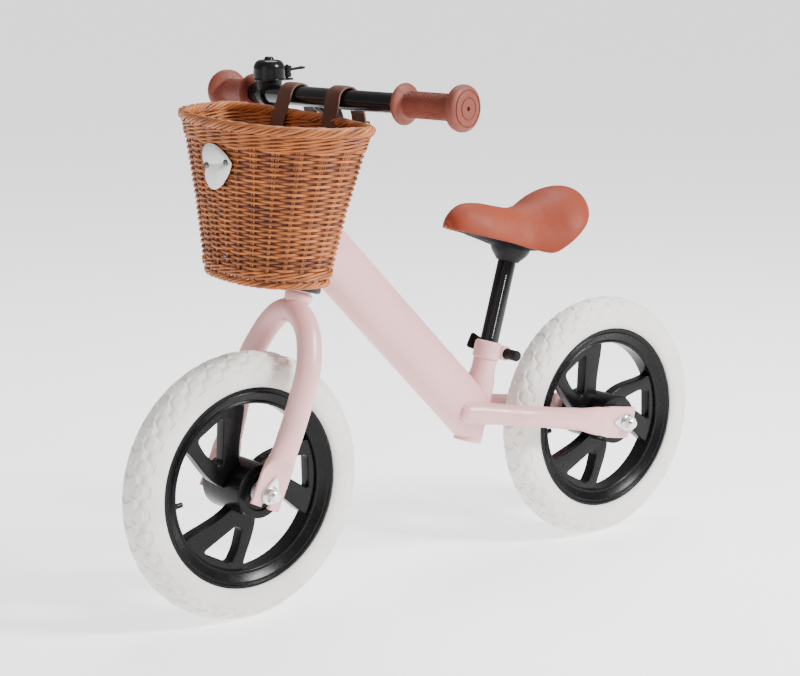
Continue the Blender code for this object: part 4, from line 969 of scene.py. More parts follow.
def make_grips():
    """Sleeves with a rounded flange, fine ribs along the body and a stepped button at the end."""
    bore = BAR_RADIUS + GAP
    end = (GRIP_END - GRIP_START) / math.cos(BAR_SWEEP)
    inner_end = (BAR_HALF_WIDTH - GRIP_START) / math.cos(BAR_SWEEP) + 0.0030
    flange = [
        (bore, 0.0), (0.0190, 0.0), (0.0214, 0.0010), (0.0225, 0.0030), (0.0218, 0.0052), (0.0196, 0.0068),
        (0.0160, 0.0080), (GRIP_RADIUS, 0.0096)
    ]
    # The button's points are radii and distances in from the grip's end.
    button = [
        (GRIP_RADIUS, 0.0168), (0.0160, 0.0158), (0.0205, 0.0146), (0.0236, 0.0124), (0.0246, 0.0094),
        (0.0246, 0.0062), (0.0238, 0.0036), (0.0214, 0.0018), (0.0196, 0.0012), (0.0194, 0.0022),
        (0.0182, 0.0022), (0.0180, 0.0010), (0.0120, 0.0002), (0.0116, 0.0012), (0.0106, 0.0012),
        (0.0102, 0.0), (0.0024, 0.0), (0.0022, 0.0030), (0, 0.0030)
    ]
    button = [(radius, end - inwards) for radius, inwards in button]
    profile = softened([*flange, *button, (0, inner_end), (bore, inner_end)], 0.0007, 2)
    # Each block's sections: distance along the rib, height and half width.
    pitch = (end - 0.0168 - 0.0100) / RIB_BLOCKS
    block_sections = (
        (0.0, 0.0, 0.0005), (0.0004, 0.0006, 0.0006), (pitch - 0.0009, 0.0006, 0.0006),
        (pitch - 0.0005, 0.0, 0.0005)
    )
    for name, sign in SIDES:
        foot, run = on_bar(sign * GRIP_START)
        grip = thing("grip", turned(profile, foot, run, 96))
        # Low ribs run along the sleeve, each cut into short blocks.
        up = (Z_AXIS - run * run.z).normalized()
        across = run.cross(up)
        ribs = Shape()
        for number in range(GRIP_RIBS):
            turn = 2 * math.pi * number / GRIP_RIBS
            out = across * math.cos(turn) + up * math.sin(turn)
            side = run.cross(out)
            for block in range(RIB_BLOCKS):
                place_in_row = block + (0.5 if number % 2 else 0.0)
                low = 0.0104 + pitch * place_in_row * (RIB_BLOCKS - 0.5) / RIB_BLOCKS
                rings = []
                for along, height, half in block_sections:
                    centre = foot + run * (low + along) + out * 0.0136
                    rings.append([
                        centre - side * half - out * 0.0004, centre + side * half - out * 0.0004,
                        centre + side * half * 0.7 + out * height, centre - side * half * 0.7 + out * height
                    ])
                ribs.skin(rings)
        grip = merged(f"{name}_ribbed_grip", grip, thing("ribs", ribs))
        place(grip, "steering", "terracotta_rubber", f"{name}_grip", look=GRIP_RUBBER, sharp=35)


make_headset()
make_stem()
make_grips()


# ---------------------------------------------------------------- bell
def make_bell():
    """A clamp band with a neck and an arm for the lever's pin, the dome, and the thumb lever."""
    middle, run = on_bar(BELL_Y)
    up = Vector((middle.x, middle.y, 0))
    pivot = middle + Vector((-0.0270, -0.0030, BELL_FOOT - middle.z))
    band = [(0.0136, -0.0062), (0.0142, -0.0056), (0.0142, 0.0056), (0.0136, 0.0062)]
    plate = BELL_FOOT - 0.0004
    neck = [(0, middle.z), (0.0130, middle.z), (0.0146, plate - 0.0030), (0.0160, plate), (0, plate)]
    post = rod(up, Z_AXIS, 0.0028, middle.z + BAR_RADIUS + 0.0008, BELL_TOP - 0.0026, 48)
    pin = rod(Vector((pivot.x, pivot.y, 0)), Z_AXIS, 0.0017, plate - 0.0012, BELL_FOOT + 0.0150, 48)
    back = (Vector((pivot.x, pivot.y, 0)) - up).normalized()
    arm = [
        (-0.0060, 0.0), (-0.0060, 0.0060), (0.0, 0.0075), (0.0330, 0.0045), (0.0330, -0.0045), (0.0, -0.0060)
    ]
    arm = slab(arm, up + Z_AXIS * (plate - 0.0012), back, Z_AXIS.cross(back), 0.0024)
    lug = slab(rectangle(-0.0050, 0.0050, -0.0090, 0.0050), middle - Z_AXIS * 0.0160, run, X_AXIS, 0.0090)
    screw = rod(middle - Z_AXIS * 0.0170 - X_AXIS * 0.0010, X_AXIS, 0.0026, -0.0095, -0.0080, 24)
    base = merged(
        "bell_clamp", thing("band", turned(tube_profile(band, BAR_RADIUS + GAP), middle, run, 96)),
        bevelled(thing("arm", arm), 0.0005), thing("neck", turned(neck, up, Z_AXIS, 64, 0.0008)),
        thing("post", post), thing("pin", pin), bevelled(thing("lug", lug), 0.0008), thing("screw", screw)
    )
    place(base, "steering", "black_plastic", "bell_base", look=BLACK_PLASTIC)
    outer, inner = 0.0178, 0.0166
    foot, top = BELL_FOOT, BELL_TOP
    dome = [
        (inner, foot - 0.0016), (outer + 0.0002, foot - 0.0016), (outer + 0.0006, foot - 0.0006),
        (outer + 0.0002, foot + 0.0008), (outer, foot + 0.0125), (outer - 0.0006, foot + 0.0152),
        (outer - 0.0018, foot + 0.0176), (outer - 0.0036, top - 0.0018), (outer - 0.0062, top - 0.0005),
        (0.0076, top), (0.0054, top), (0.0052, top + 0.0020), (0.0040, top + 0.0032), (0.0, top + 0.0032),
        (0.0, top - 0.0018), (0.0070, top - 0.0018), (outer - 0.0068, top - 0.0030),
        (inner - 0.0018, foot + 0.0160), (inner, foot + 0.0110),
    ]
    bell = thing("lacquered_bell_dome", turned(softened(dome, 0.0010, 4), up, Z_AXIS, 128))
    place(bell, "steering", "black_paint", "bell_dome", look=BLACK_PAINT)
    base_z = pivot.z + 0.0006
    foot = Vector((pivot.x, pivot.y, 0))
    boss = [(0.0050, base_z), (0.0052, base_z + 0.0040), (0.0044, base_z + 0.0046),
            (0.0044, base_z + 0.0062), (0.0052, base_z + 0.0068), (0.0052, base_z + 0.0130)]
    run = Vector((-0.97, 0.16, 0.12)).normalized()
    flat = run.cross(Y_AXIS).cross(run).normalized()
    tab = [
        (0.0030, -0.0026), (0.0030, 0.0026), (0.0130, 0.0040), (0.0190, 0.0056), (0.0215, 0.0040),
        (0.0215, -0.0040), (0.0190, -0.0056), (0.0130, -0.0040)
    ]
    blade = bevelled(thing("blade", slab(tab, pivot + Z_AXIS * 0.0085, run, flat, 0.0024)), 0.0008, 3)
    boss = thing("boss", turned(tube_profile(boss, 0.0020), foot, Z_AXIS, 64))
    lever = merged("bell_thumb_paddle", boss, blade)
    place(lever, "bell_thumb_lever", "black_plastic", "bell_lever", look=BLACK_PLASTIC)


make_bell()


# ---------------------------------------------------------------- seat clamp, post and bracket
CLAMP_MIDDLE = SEAT_FOOT + SEAT_UP * 0.1115
SKEWER = CLAMP_MIDDLE - SEAT_FORWARD * 0.0230
SKEWER_END = -0.0165
LEVER_TILT = math.radians(29.0)
LEVER_AXIS = Vector((math.sin(LEVER_TILT), 0, -math.cos(LEVER_TILT)))
LEVER_RUN = Vector((math.cos(LEVER_TILT), 0, math.sin(LEVER_TILT)))


def make_seat_clamp():
    """A split collar with two ears, its skewer, nut and cam lever."""
    ring = [
        (0.0157, 0.1010), (0.0163, 0.1016), (0.0163, 0.1195), (0.0145, 0.1220), (0.0118, 0.1220),
        (0.0118, 0.1183), (0.0146, 0.1183), (0.0146, 0.1010)
    ]
    collar = thing("clamp", turned(ring, SEAT_FOOT, SEAT_UP, 96, 0.0005))
    ear = rounded(rectangle(0.0148, 0.0298, -0.0085, 0.0085), 0.0060, 8)
    boolean(
        collar, "UNION",
        bevelled(thing("ears", slab(ear, CLAMP_MIDDLE, -SEAT_FORWARD, SEAT_UP, 0.0190)), 0.0012, 3)
    )
    slit = slab(rectangle(0.0050, 0.0500, -0.03, 0.03), CLAMP_MIDDLE, -SEAT_FORWARD, SEAT_UP, 0.0026)
    boolean(collar, "DIFFERENCE", rod(SEAT_FOOT, SEAT_UP, 0.0146, 0.05, 0.1183, 96), slit,
            rod(SKEWER, Y_AXIS, 0.0028, -0.03, 0.03, 48))
    place(collar, "frame", "pink_paint", "seat_clamp_collar", look=PINK, sharp=30)
    skewer = thing("plated_skewer", rod(SKEWER, Y_AXIS, 0.0025, SKEWER_END, 0.0240, 48))
    place(skewer, "frame", "zinc_steel", "clamp_skewer", look=ZINC)
    start = 0.0098
    nut = [
        (0.0028, start), (0.0068, start), (0.0068, start + 0.0022), (0.0060, start + 0.0030),
        (0.0064, start + 0.0040), (0.0064, 0.0285), (0.0052, 0.0300), (0, 0.0300), (0, 0.0245),
        (0.0028, 0.0245)
    ]
    nut = thing("moulded_clamp_nut", turned(nut, SKEWER, Y_AXIS, 64, 0.0007))
    place(nut, "frame", "black_plastic", "clamp_nut", look=BLACK_PLASTIC)
    hinge = SKEWER + Y_AXIS * SKEWER_END
    lever = bevelled(thing("boss", rod(hinge, LEVER_AXIS, 0.0064, -0.0085, 0.0085, 64, 0.0010)), 0.0001, 1)
    blade = [(0.0, -0.0082), (0.0200, -0.0082), (0.0345, -0.0098), (0.0345, 0.0098), (0.0200, 0.0082),
             (0.0, 0.0082)]
    lean = (LEVER_RUN - Y_AXIS * 0.10).normalized()
    blade = slab(rounded(blade, 0.0045, 8), hinge - Y_AXIS * 0.0040, lean, LEVER_AXIS, 0.0032)
    boolean(lever, "UNION", bevelled(thing("blade", blade), 0.0010, 3))
    notch = rectangle(-0.02, 0.0040, -0.0030, 0.0030)
    boolean(lever, "DIFFERENCE", slab(notch, hinge + Y_AXIS * 0.0010, LEVER_RUN, LEVER_AXIS, 0.0180))
    place(lever, "quick_release_lever", "black_plastic", "clamp_lever", look=BLACK_PLASTIC, sharp=30)


def make_seat_post():
    wall = [(SEAT_POST_RADIUS, 0.0480), (SEAT_POST_RADIUS, 0.2240), (0.0095, 0.2240), (0.0095, 0.0480)]
    post = thing("lacquered_seat_post", turned(wall, SEAT_FOOT, SEAT_UP, 96, 0.0006))
    place(post, "seat", "black_paint", "seat_post", look=BLACK_PAINT)
    bore = SEAT_POST_RADIUS + GAP
    bracket = [
        (bore, 0.2197), (0.0131, 0.2197), (0.0137, 0.2202), (0.0145, 0.2212), (0.0166, 0.2240),
        (0.0195, 0.2272), (0.0218, 0.2302), (0.0236, 0.2340), (0.0245, 0.2378), (0.0248, 0.2455), (0, 0.2455),
        (0, 0.2243), (bore, 0.2243)
    ]
    socket = thing("saddle_socket", turned(softened(bracket, 0.0008, 2), SEAT_FOOT, SEAT_UP, 96))
    place(socket, "seat", "black_plastic", "saddle_bracket", look=BLACK_PLASTIC)
    # The height marks are a printed row of dots down the post's left front.
    marks = Shape()
    forward, sideways = polar(1.0, 62)
    out = (SEAT_FORWARD * forward + Y_AXIS * sideways).normalized()
    flat = SEAT_UP.cross(out)
    for number in range(26):
        spot = SEAT_FOOT + SEAT_UP * (0.1270 + 0.0030 * number) + out * (SEAT_POST_RADIUS - 0.0002)
        rings = []
        for lift in (0.0, 0.00027):
            lifted = spot + out * lift
            corners = rectangle(-1, 1, -1, 1)
            rings.append([lifted + flat * a * 0.00035 + SEAT_UP * b * 0.0010 for a, b in corners])
        marks.skin(rings)
    place(thing("height_marks", marks), "seat", "black_paint", look=WHITE_INK)


make_seat_clamp()
make_seat_post()


# ---------------------------------------------------------------- saddle
# From nose to tail: position, half width, height of the lower edge and height of the crest.
SADDLE_STATIONS = [
    (-0.0225, 0.0070, 0.4090, 0.4165), (-0.0295, 0.0165, 0.4070, 0.4265), (-0.0450, 0.0245, 0.4025, 0.4350),
    (-0.0700, 0.0310, 0.3955, 0.4340), (-0.0950, 0.0350, 0.3885, 0.4285), (-0.1180, 0.0420, 0.3805, 0.4245),
    (-0.1400, 0.0540, 0.3745, 0.4270), (-0.1550, 0.0590, 0.3800, 0.4325), (-0.1720, 0.0620, 0.3910, 0.4395),
    (-0.1900, 0.0580, 0.4030, 0.4440), (-0.2060, 0.0460, 0.4130, 0.4440), (-0.2190, 0.0290, 0.4200, 0.4390),
    (-0.2260, 0.0110, 0.4240, 0.4340),
]


def saddle_section(station, count):
    """The vinyl's outside from one lower edge over the crest to the other."""
    x, half, skirt, crest = station
    ring = []
    for i in range(count):
        turn = math.pi * i / (count - 1)
        c, s = math.cos(turn), math.sin(turn)
        ring.append((x, c * half, skirt + (crest - skirt) * s**1.3))
    return ring


def dense_stations(steps):
    """Stations along smooth curves through the given ones, closed round at the nose and tail."""
    low = smooth_path([Vector((x, half, skirt)) for x, half, skirt, _ in SADDLE_STATIONS], steps)
    high = smooth_path([Vector((x, half, crest)) for x, half, _, crest in SADDLE_STATIONS], steps)
    stations = [(a.x, a.y, a.z, b.z) for a, b in zip(low, high)]
    ends = []
    for (x, half, skirt, crest), out in ((stations[0], 1), (stations[-1], -1)):
        middle = skirt + (crest - skirt) * 0.45
        cap = []
        for k in range(1, 7):
            turn = math.pi / 2 * k / 6
            shrink = math.cos(turn)
            tall = max(shrink, 0.05)
            cap.append((x + out * half * 0.32 * math.sin(turn), max(half * shrink, 0.0003),
                        middle + (skirt - middle) * tall, middle + (crest - middle) * tall))
        ends.append(cap)
    return [*ends[0][::-1], *stations, *ends[1]]


def make_saddle():
    pad = []
    for station in dense_stations(8):
        x, half, skirt, crest = station
        ring = saddle_section(station, 61)
        edge = min(0.0042, half * 0.35)
        inside = max(half - edge, half * 0.3)
        roof = min(skirt + (crest - skirt) * 0.45, max(skirt + 0.0085, 0.3926 if -0.17 < x < -0.07 else 0.0))
        # The edge rolls under, then the lining runs up inside.
        under = [(x, -half + edge * t, skirt - 0.0009 * math.sin(math.pi * t)) for t in (0.3, 0.6, 0.9)]
        under += [(x, -inside, skirt + 0.0012), (x, -inside * 0.97, roof)]
        pad.append([*ring, *under, (x, 0, roof), *[(x, -y, z) for _, y, z in under[::-1]]])
    saddle = thing("padded_saddle", Shape().skin(pad))
    # Foam gives a little between the places where the vinyl is tacked down; here the pad is only smoothed.
    soft = saddle.modifiers.new("smooth", "SMOOTH")
    soft.factor, soft.iterations = 0.35, 9
    settle(saddle)
    place(saddle, "seat", "terracotta_vinyl", "saddle_pad", look=VINYL, sharp=80)
    # The pan deepens into a keel round the socket, given as distances behind the bike's middle and drops.
    keel = (
        (0.0300, 0.0030), (0.0450, 0.0010), (0.0700, -0.0035), (0.0950, -0.0065), (0.1180, -0.0060),
        (0.1350, -0.0010), (0.1550, 0.0045), (0.1900, 0.0060), (0.2150, 0.0060)
    )
    pan = []
    for x, half, skirt, _ in dense_stations(6)[14:-10]:
        drop = float(np.interp(-x, *zip(*keel)))
        wide = half * 0.90 - 0.0030
        side = [(x, wide, skirt + 0.0075), (x, wide, skirt + 0.0010 + max(drop, 0.0)),
                (x, wide * 0.72, skirt + drop * 0.8 + 0.0004), (x, wide * 0.35, skirt + drop)]
        pan.append([*side, *[(x, -y, z) for _, y, z in side[::-1]]])
    place(
        thing("moulded_saddle_pan", Shape().skin(pan)), "seat", "black_plastic", "saddle_base",
        look=PAN_PLASTIC, sharp=50
    )


make_saddle()


# ---------------------------------------------------------------- basket
# Rear, front, middle line and half width, where it is widest, and the squareness of its front and rear.
RIM_OUTLINE = (0.1715, 0.3185, 0.0155, 0.1365, 0.24, 2.25, 2.3)
FOOT_OUTLINE = (0.2080, 0.3050, 0.0210, 0.0820, 0.30, 2.40, 3.0)
RIM_Z, FOOT_Z = 0.5555, 0.3850
# The basket leans forwards and sideways about a line across it.
BASKET_PITCH, BASKET_ROLL, BASKET_MIDDLE_X = 0.015, -0.037, 0.24
COLUMNS = 24
FIRST_COLUMN = 0.35
CANE_RADIUS = 0.00138
STAKE_RADIUS = 0.00105
ROW_PITCH = 0.00292
# How far weavers and twined strands swing in and out round the stakes.
WEAVE_SWING, TWINE_SWING, TWINE_LIFT = 0.0016, 0.0023, 0.0014
FLOOR_CANE_PITCH = 0.0034
WEAVE_START, WEAVE_END = 0.4030, 0.5290
TWINING_HEIGHTS = (0.3945, 0.3982, 0.5318, 0.5360, 0.5400, 0.5438)
AROUND = 480
# How far each of a cane's eight long lines faces out of the basket, from 0 to 1.
OUTER = (1 + np.cos(2 * np.pi * np.arange(8) / 8)) / 2


def level_at(height):
    """0 at the basket's foot and 1 at its rim."""
    return (height - FOOT_Z) / (RIM_Z - FOOT_Z)


def basket_ring(height, inset, count=AROUND, fractions=None):
    """Evenly spaced points round the basket at a height, from the front, and the way out at each."""
    rear, front, centre, half, widest, front_power, rear_power = between(
        FOOT_OUTLINE, RIM_OUTLINE, level_at(height)
    )
    rear, front, half = rear + inset, front - inset, half - inset
    middle = rear + (front - rear) * widest
    turns = 2 * np.pi * np.arange(2401) / 2400
    c, s = np.cos(turns), np.sin(turns)
    reach = np.where(c > 0, front - middle, middle - rear)
    power = np.where(c > 0, front_power, rear_power)
    outline = middle + squared(c, power) * reach, centre + squared(s, power) * half
    length = np.concatenate([[0], np.cumsum(np.hypot(*np.diff(outline)))])
    if fractions is None:
        fractions = np.arange(count) / count
    at, step = (np.asarray(fractions) % 1.0) * length[-1], length[-1] / 600
    (x, y), ahead, behind = [np.stack([np.interp(spot % length[-1], length, values) for values in outline])
                             for spot in (at, at + step, at - step)]
    run = (ahead - behind).T
    run = run / np.linalg.norm(run, axis=1)[:, None]
    tilt = BASKET_PITCH * (x - BASKET_MIDDLE_X) + BASKET_ROLL * (y - centre)
    points = np.stack([x, y, height + tilt], axis=1)
    return points, np.stack([run[:, 1], -run[:, 0], np.zeros(len(x))], axis=1)


def wall_inset(height):
    """How far the middle of the wall lies inside the outline, which is measured over the borders."""
    return 0.0035 * min(1.0, max(level_at(height), 0.0) / 0.45) + 0.0029


def drift(count, amount, knots):
    """A smooth closed random wander."""
    values = draws.normal(0, amount, knots)
    at = np.arange(count) * knots / count
    low = at.astype(int)
    t = (1 - np.cos(np.pi * (at - low))) / 2
    return values[low % knots] * (1 - t) + values[(low + 1) % knots] * t


def make_weave():
    """Rows of weavers go in front of one pair of stakes and behind the next, and change over on each row."""
    weave = Shape()
    phase = COLUMNS * np.arange(AROUND) / AROUND - FIRST_COLUMN
    height, row = WEAVE_START, 0
    while height < WEAVE_END:
        swing = np.clip(1.30 * np.cos(np.pi * phase + np.pi * (row % 2)), -1, 1)
        points, out = basket_ring(height, wall_inset(height))
        points += out * (WEAVE_SWING * swing + drift(AROUND, 0.00012, 60))[:, None]
        points[:, 2] += drift(AROUND, 0.00012, 48)
        # Where it passes behind, a weaver spreads to fill the row. There and where it turns, its outward face
        # is darkened as painted shade in the recess, and its inward face is lightened all round as painted
        # light.
        behind = np.clip(-swing, 0, 1)
        tone = draws.normal(0.64, 0.15) + drift(AROUND, 0.12, 9)
        painted_shade = 0.62 * behind + 0.15 * (1 - np.abs(swing))
        tone = tone[:, None] - painted_shade[:, None] * OUTER[None, :] + 0.25 * (1 - OUTER)[None, :]
        tall = CANE_RADIUS * (1.06 + 0.72 * behind + drift(AROUND, 0.03, 40))
        cane(weave, points, Z_AXIS, tall, 0.00120, True, np.clip(tone, 0, 1))
        height += ROW_PITCH
        row += 1
    # Bands of three strands that twist round the stakes close the weave above and below.
    for height in TWINING_HEIGHTS:
        for strand in range(3):
            lay = 2 * np.pi * (phase / 3 + strand / 3)
            points, out = basket_ring(height, wall_inset(height))
            reach = np.clip(1.5 * np.cos(lay) + 0.35, -1, 1)
            points += out * (TWINE_SWING * reach)[:, None]
            points[:, 2] += TWINE_LIFT * np.sin(lay) + drift(AROUND, 0.00015, 40)
            # Each strand is darkened as painted shade where it turns inwards, and its inward face is set
            # light as painted light.
            tone = draws.normal(0.64, 0.14) - 0.30 * (1 - reach)
            tone = tone[:, None] * OUTER[None, :] + 0.80 * (1 - OUTER)[None, :]
            cane(weave, points, Z_AXIS, 0.00130, None, True, np.clip(tone, 0, 1))
    return weave


def make_stakes():
    """Pairs of upright stakes, which double near the rim."""
    stakes = Shape()
    heights = np.linspace(0.3850, 0.5510, 40)
    for column in range(COLUMNS):
        for offset in (-0.0040, -0.00135, 0.00135, 0.0040):
            low = 0 if abs(offset) < 0.002 else 29
            lean = draws.normal(0, 0.0003)
            path, guide = [], []
            for height in heights[low:]:
                level = level_at(height)
                side = offset * (0.75 + 0.25 * level) + lean * math.sin(5 * level)
                around = 0.42 + 0.26 * level
                point, out = basket_ring(
                    height, wall_inset(height), fractions=[(column + FIRST_COLUMN) / COLUMNS + side / around]
                )
                path.append(point[0])
                guide.append(out[0])
            cane(stakes, path, guide, STAKE_RADIUS, tone=float(np.clip(draws.normal(0.62, 0.12), 0, 1)))
    return stakes


def make_rope(height, inset, coil, strands, turns, radius, wander):
    """Canes that spiral round the wall's edge over a core, as a rolled border."""
    rope = Shape()
    count = turns * 64
    fractions = np.arange(count) / count
    points, out = basket_ring(height, inset, count)
    # The core is given a darker tone than the strands, as painted shade in the gaps between them.
    cane(rope, points, Z_AXIS, coil * 0.80, None, True, 0.25, 12)
    for strand in range(strands):
        lay = 2 * np.pi * (turns * fractions + strand / strands) + drift(count, 0.13, turns * 3)
        reach = coil * (1 + drift(count, wander, turns * 5))
        path = points + out * (reach * np.cos(lay))[:, None]
        path[:, 2] += reach * np.sin(lay)
        guide = out * np.cos(lay)[:, None] + np.outer(np.sin(lay), Z_AXIS)
        tone = np.clip(draws.normal(0.70, 0.13) + drift(count, 0.10, 12), 0, 1)
        cane(rope, path, guide, radius * (1 + drift(count, 0.06, 30)), None, True, tone, 10)
    return rope


def make_basket_floor():
    """Canes laid side by side from back to front, over five that run across."""
    floor = Shape()
    height = 0.3905
    ring, _ = basket_ring(height, 0.0075)
    centre = FOOT_OUTLINE[2]
    for y in np.arange(ring[:, 1].min() + 0.004, ring[:, 1].max() - 0.003, FLOOR_CANE_PITCH):
        level = BASKET_ROLL * (y - centre)
        near = ring[np.abs(ring[:, 1] - y) < 0.0025, 0]
        xs = np.linspace(near.min() + 0.0010, near.max() - 0.0010, 24)
        phase = 0 if int(round(y / FLOOR_CANE_PITCH)) % 2 else np.pi
        bend = 0.0008 * np.cos(np.pi * (xs - 0.22) / 0.018 + phase)
        rise = height + level + BASKET_PITCH * (xs - BASKET_MIDDLE_X) + bend
        path = np.stack([xs, np.full(24, y), rise], axis=1)
        cane(floor, path, Z_AXIS, 0.0015, tone=float(np.clip(draws.normal(0.5, 0.16), 0, 1)))
    for x in (0.2200, 0.2380, 0.2560, 0.2740, 0.2920):
        near = ring[np.abs(ring[:, 0] - x) < 0.0025, 1]
        ys = np.linspace(near.min() + 0.0030, near.max() - 0.0030, 12)
        rise = height + BASKET_ROLL * (ys - centre) + BASKET_PITCH * (x - BASKET_MIDDLE_X)
        path = np.stack([np.full(12, x), ys, rise], axis=1)
        cane(floor, path, Z_AXIS, 0.0012, tone=0.35)
    return floor


def make_basket():
    pieces = [
        ("basket_weave", make_weave()), ("basket_stakes", make_stakes()),
        ("basket_rim_border", make_rope(0.5502, 0.0058, 0.0041, 8, 9, 0.00168, 0.08)),
        ("basket_foot_border", make_rope(0.3862, 0.0040, 0.0026, 6, 8, 0.0015, 0.08)),
        ("basket_floor_canes", make_basket_floor()),
    ]
    for name, shape in pieces:
        stands_for = ["basket"] if name == "basket_weave" else []
        place(thing(name, shape), "steering", "honey_wicker", *stands_for, look=CANE, sharp=180)


make_basket()


# ---------------------------------------------------------------- badge and straps
def heart_outline():
    """A heart on its side: two round lobes on the left, and a point to the right."""
    lobe = arc(0.0145, 228, 78, 20, centre=(-0.0085, 0.0100))
    side = [*lobe, (0.0015, 0.0225), (0.0080, 0.0190), (0.0142, 0.0146), (0.0208, 0.0092)]
    return [*side, (0.0258, 0.0024), (0.0266, 0.0), (0.0258, -0.0024), *[(a, -b) for a, b in side[:0:-1]]]


def make_badge():
    out = Vector((1.0, 0.037, -0.044)).normalized()
    centre = Vector((0.3098, 0.0240, 0.5075)) + out * 0.0026
    across = (Z_AXIS.cross(out) + Z_AXIS * 0.16).normalized()
    across = (across - out * across.dot(out)).normalized()
    up = out.cross(across)
    badge = thing("heart_plate", slab(heart_outline(), centre, across, up, 0.0010))
    spots = [centre + a * across + b * up for a, b in ((-0.0177, 0.0020), (0.0171, 0.0020))]
    boolean(badge, "DIFFERENCE", *[rod(spot, out, 0.0019, -0.01, 0.01, 32) for spot in spots])
    place(bevelled(badge, 0.0003, 2, 60), "steering", "silver_plate", "basket_badge", look=BADGE_METAL)
    for number, spot in enumerate(spots, 1):
        head = [
            (0, -0.0130), (0.0016, -0.0130), (0.0016, 0.0008), (0.0034, 0.0008), (0.0031, 0.0016),
            (0.0020, 0.0024), (0, 0.0026)
        ]
        screw = thing("screw", turned(head, spot, out, 40, 0.0004))
        slot = rectangle(-0.0004, 0.0004, -0.0026, 0.0026)
        cross = (slot, [(b, a) for a, b in slot])
        boolean(screw, "DIFFERENCE", *[slab(bar, spot + out * 0.0026, across, up, 0.0022) for bar in cross])
        place(screw, "steering", "zinc_steel", f"badge_screw_{number}", look=DARK_SCREW, sharp=25)


make_badge()

STRAP_WIDTH, STRAP_THICKNESS = 0.0240, 0.0022
STRAP_PLACES = (("left", 0.0480, 0.0), ("right", -0.0390, 0.0045))
STRAP_SLOT_Z = 0.5050
STRAP_START = ((0.1440, 0.5340), (0.1425, 0.5450))


def strap_path(sideways, ease):
    """Side view of a strap, from the buckle over the bar, down inside and out through the wall."""
    radius = BAR_RADIUS + STRAP_THICKNESS / 2 + 0.0018
    bar, _ = on_bar(sideways)
    over = arc(radius, 200, 20, 8, centre=(bar.x, bar.z))
    return [
        *STRAP_START, (0.1450, 0.5570), *over, (0.1797 + ease * 0.2, 0.5655), (0.1820 + ease * 0.6, 0.5560),
        (0.1850 + ease, 0.5440), (0.1885 + ease, 0.5330), (0.1928 + ease, 0.5200), (0.1955 + ease, 0.5100),
        (0.1930 + ease, STRAP_SLOT_Z), (0.1680, STRAP_SLOT_Z), (0.1560, 0.5120), (0.1490, 0.5220),
    ]


def make_straps():
    for name, sideways, ease in STRAP_PLACES:
        path = smooth_path([Vector((x, 0, z)) for x, z in strap_path(sideways, ease)], 6)
        half, thick = STRAP_WIDTH / 2, STRAP_THICKNESS / 2
        section = rounded(rectangle(-half, half, -thick, thick), 0.0006, 4)
        across = [half * t for t in (0.6, 0.2, -0.2, -0.6)]
        # More points along both wide faces, so that they can cup.
        section = [
            *section[:15], *[(a, thick) for a in across], *section[15:], *[(-a, -thick) for a in across]
        ]
        rings = []
        for spot, run in zip(path, tangents(path)):
            out = run.cross(Y_AXIS).normalized()
            # The leather cups slightly across its width.
            rings.append([
                spot + Y_AXIS * (sideways + a) + out * (b - 0.0003 * (a / half) ** 2) for a, b in section
            ])
        strap = thing(f"{name}_leather_strap", Shape().skin(rings))
        strap.data.materials.append(LEATHER)
        strap.data.materials.append(LEATHER_EDGE)
        for face in strap.data.polygons:
            if abs(face.normal.y) > 0.75:
                face.material_index = 1
        place(strap, "steering", "brown_leather", f"{name}_strap", sharp=60)
        # The buckle is a plate with two windows, just behind the strap's start.
        start, onwards = [Vector((x, 0, z)) for x, z in STRAP_START]
        run = (start - onwards).normalized()
        middle = Vector((start.x, sideways, start.z)) - run * 0.0020 + run.cross(Y_AXIS) * -(thick + 0.0018)
        reach = half + 0.0050
        outline = rounded(rectangle(-0.0110, 0.0110, -reach, reach), 0.0028, 6)
        buckle = thing("buckle", slab(outline, middle, run, Y_AXIS, 0.0024))
        for left, right in ((-0.0086, -0.0012), (0.0012, 0.0086)):
            window = rounded(rectangle(left, right, 0.0030 - reach, reach - 0.0030), 0.0012, 5)
            boolean(buckle, "DIFFERENCE", slab(window, middle, run, Y_AXIS, 0.0060))
        place(bevelled(buckle, 0.0006, 3, 50), "steering", "zinc_steel", f"{name}_buckle", look=ZINC)


make_straps()


# ---------------------------------------------------------------- floor, lights, camera
FLOOR_REACH = 60
WHITE = (1.0, 1.0, 1.0, 1.0)


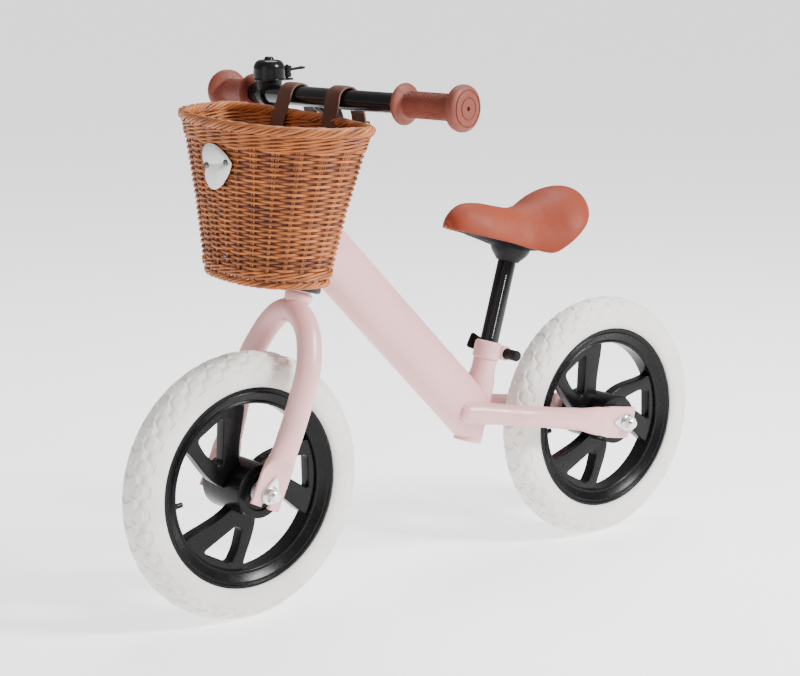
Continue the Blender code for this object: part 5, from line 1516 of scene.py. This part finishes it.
def backdrop():
    """A pale floor that runs out of sight, and an even white surround."""
    look = Look("pale_floor")
    look.finish(
        look.mixed(look.ramp(look.noise(3.0), 0.0, 1.0), (0.86, 0.86, 0.86), (0.90, 0.90, 0.90)),
        look.ramp(look.noise(9.0), 0.7, 0.9)
    )
    look.shader.inputs["Emission Color"].default_value = WHITE
    look.shader.inputs["Emission Strength"].default_value = 1.3
    square = rectangle(-FLOOR_REACH, FLOOR_REACH, -FLOOR_REACH, FLOOR_REACH)
    floor = thing("floor", Shape().skin([[(x, y, z) for x, y in square] for z in (-0.02, 0)]))
    floor.data.materials.append(look.material)
    world = bpy.data.worlds.new("studio")
    bpy.context.scene.world = world
    world.use_nodes = True
    world.node_tree.nodes["Background"].inputs["Color"].default_value = WHITE
    world.node_tree.nodes["Background"].inputs["Strength"].default_value = 0.42


def lamp(name, spot, aim, power, size):
    light = bpy.data.lights.new(name, "AREA")
    light.energy, light.shape, light.size = power, "DISK", size
    made = bpy.data.objects.new(name, light)
    made.location = spot
    made.rotation_euler = (Vector(aim) - Vector(spot)).to_track_quat("-Z", "Y").to_euler()
    bpy.context.scene.collection.objects.link(made)


backdrop()
AIM = (0, 0, 0.3)
lamp("key", (-1.10, 2.00, 2.00), AIM, 150, 0.8)
lamp("fill", (2.40, 0.60, 1.20), AIM, 8, 1.6)
lamp("top", (-0.6, -0.6, 2.6), AIM, 60, 1.6)

# The camera stands where it stood for the photo.
camera = bpy.data.objects.new("camera", bpy.data.cameras.new("camera"))
camera.data.sensor_width, camera.data.lens = 36.0, 94.995
azimuth, elevation = math.radians(141.24), math.radians(11.19)
back = Vector((
    math.sin(azimuth) * math.cos(elevation), -math.cos(azimuth) * math.cos(elevation), math.sin(elevation)
))
camera.location = (1.5392, 1.8578, 0.7587)
camera.rotation_euler = back.to_track_quat("Z", "Y").to_euler()
bpy.context.scene.collection.objects.link(camera)
bpy.context.scene.camera = camera

# Bearings and the stem's wedge and bolt are shown as the CAD has them, in bright steel.
for name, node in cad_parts.items():
    if name.endswith("_bearing") or name in ("stem_bolt", "stem_wedge"):
        node.data.materials.clear()
        node.data.materials.append(BEARING_STEEL)
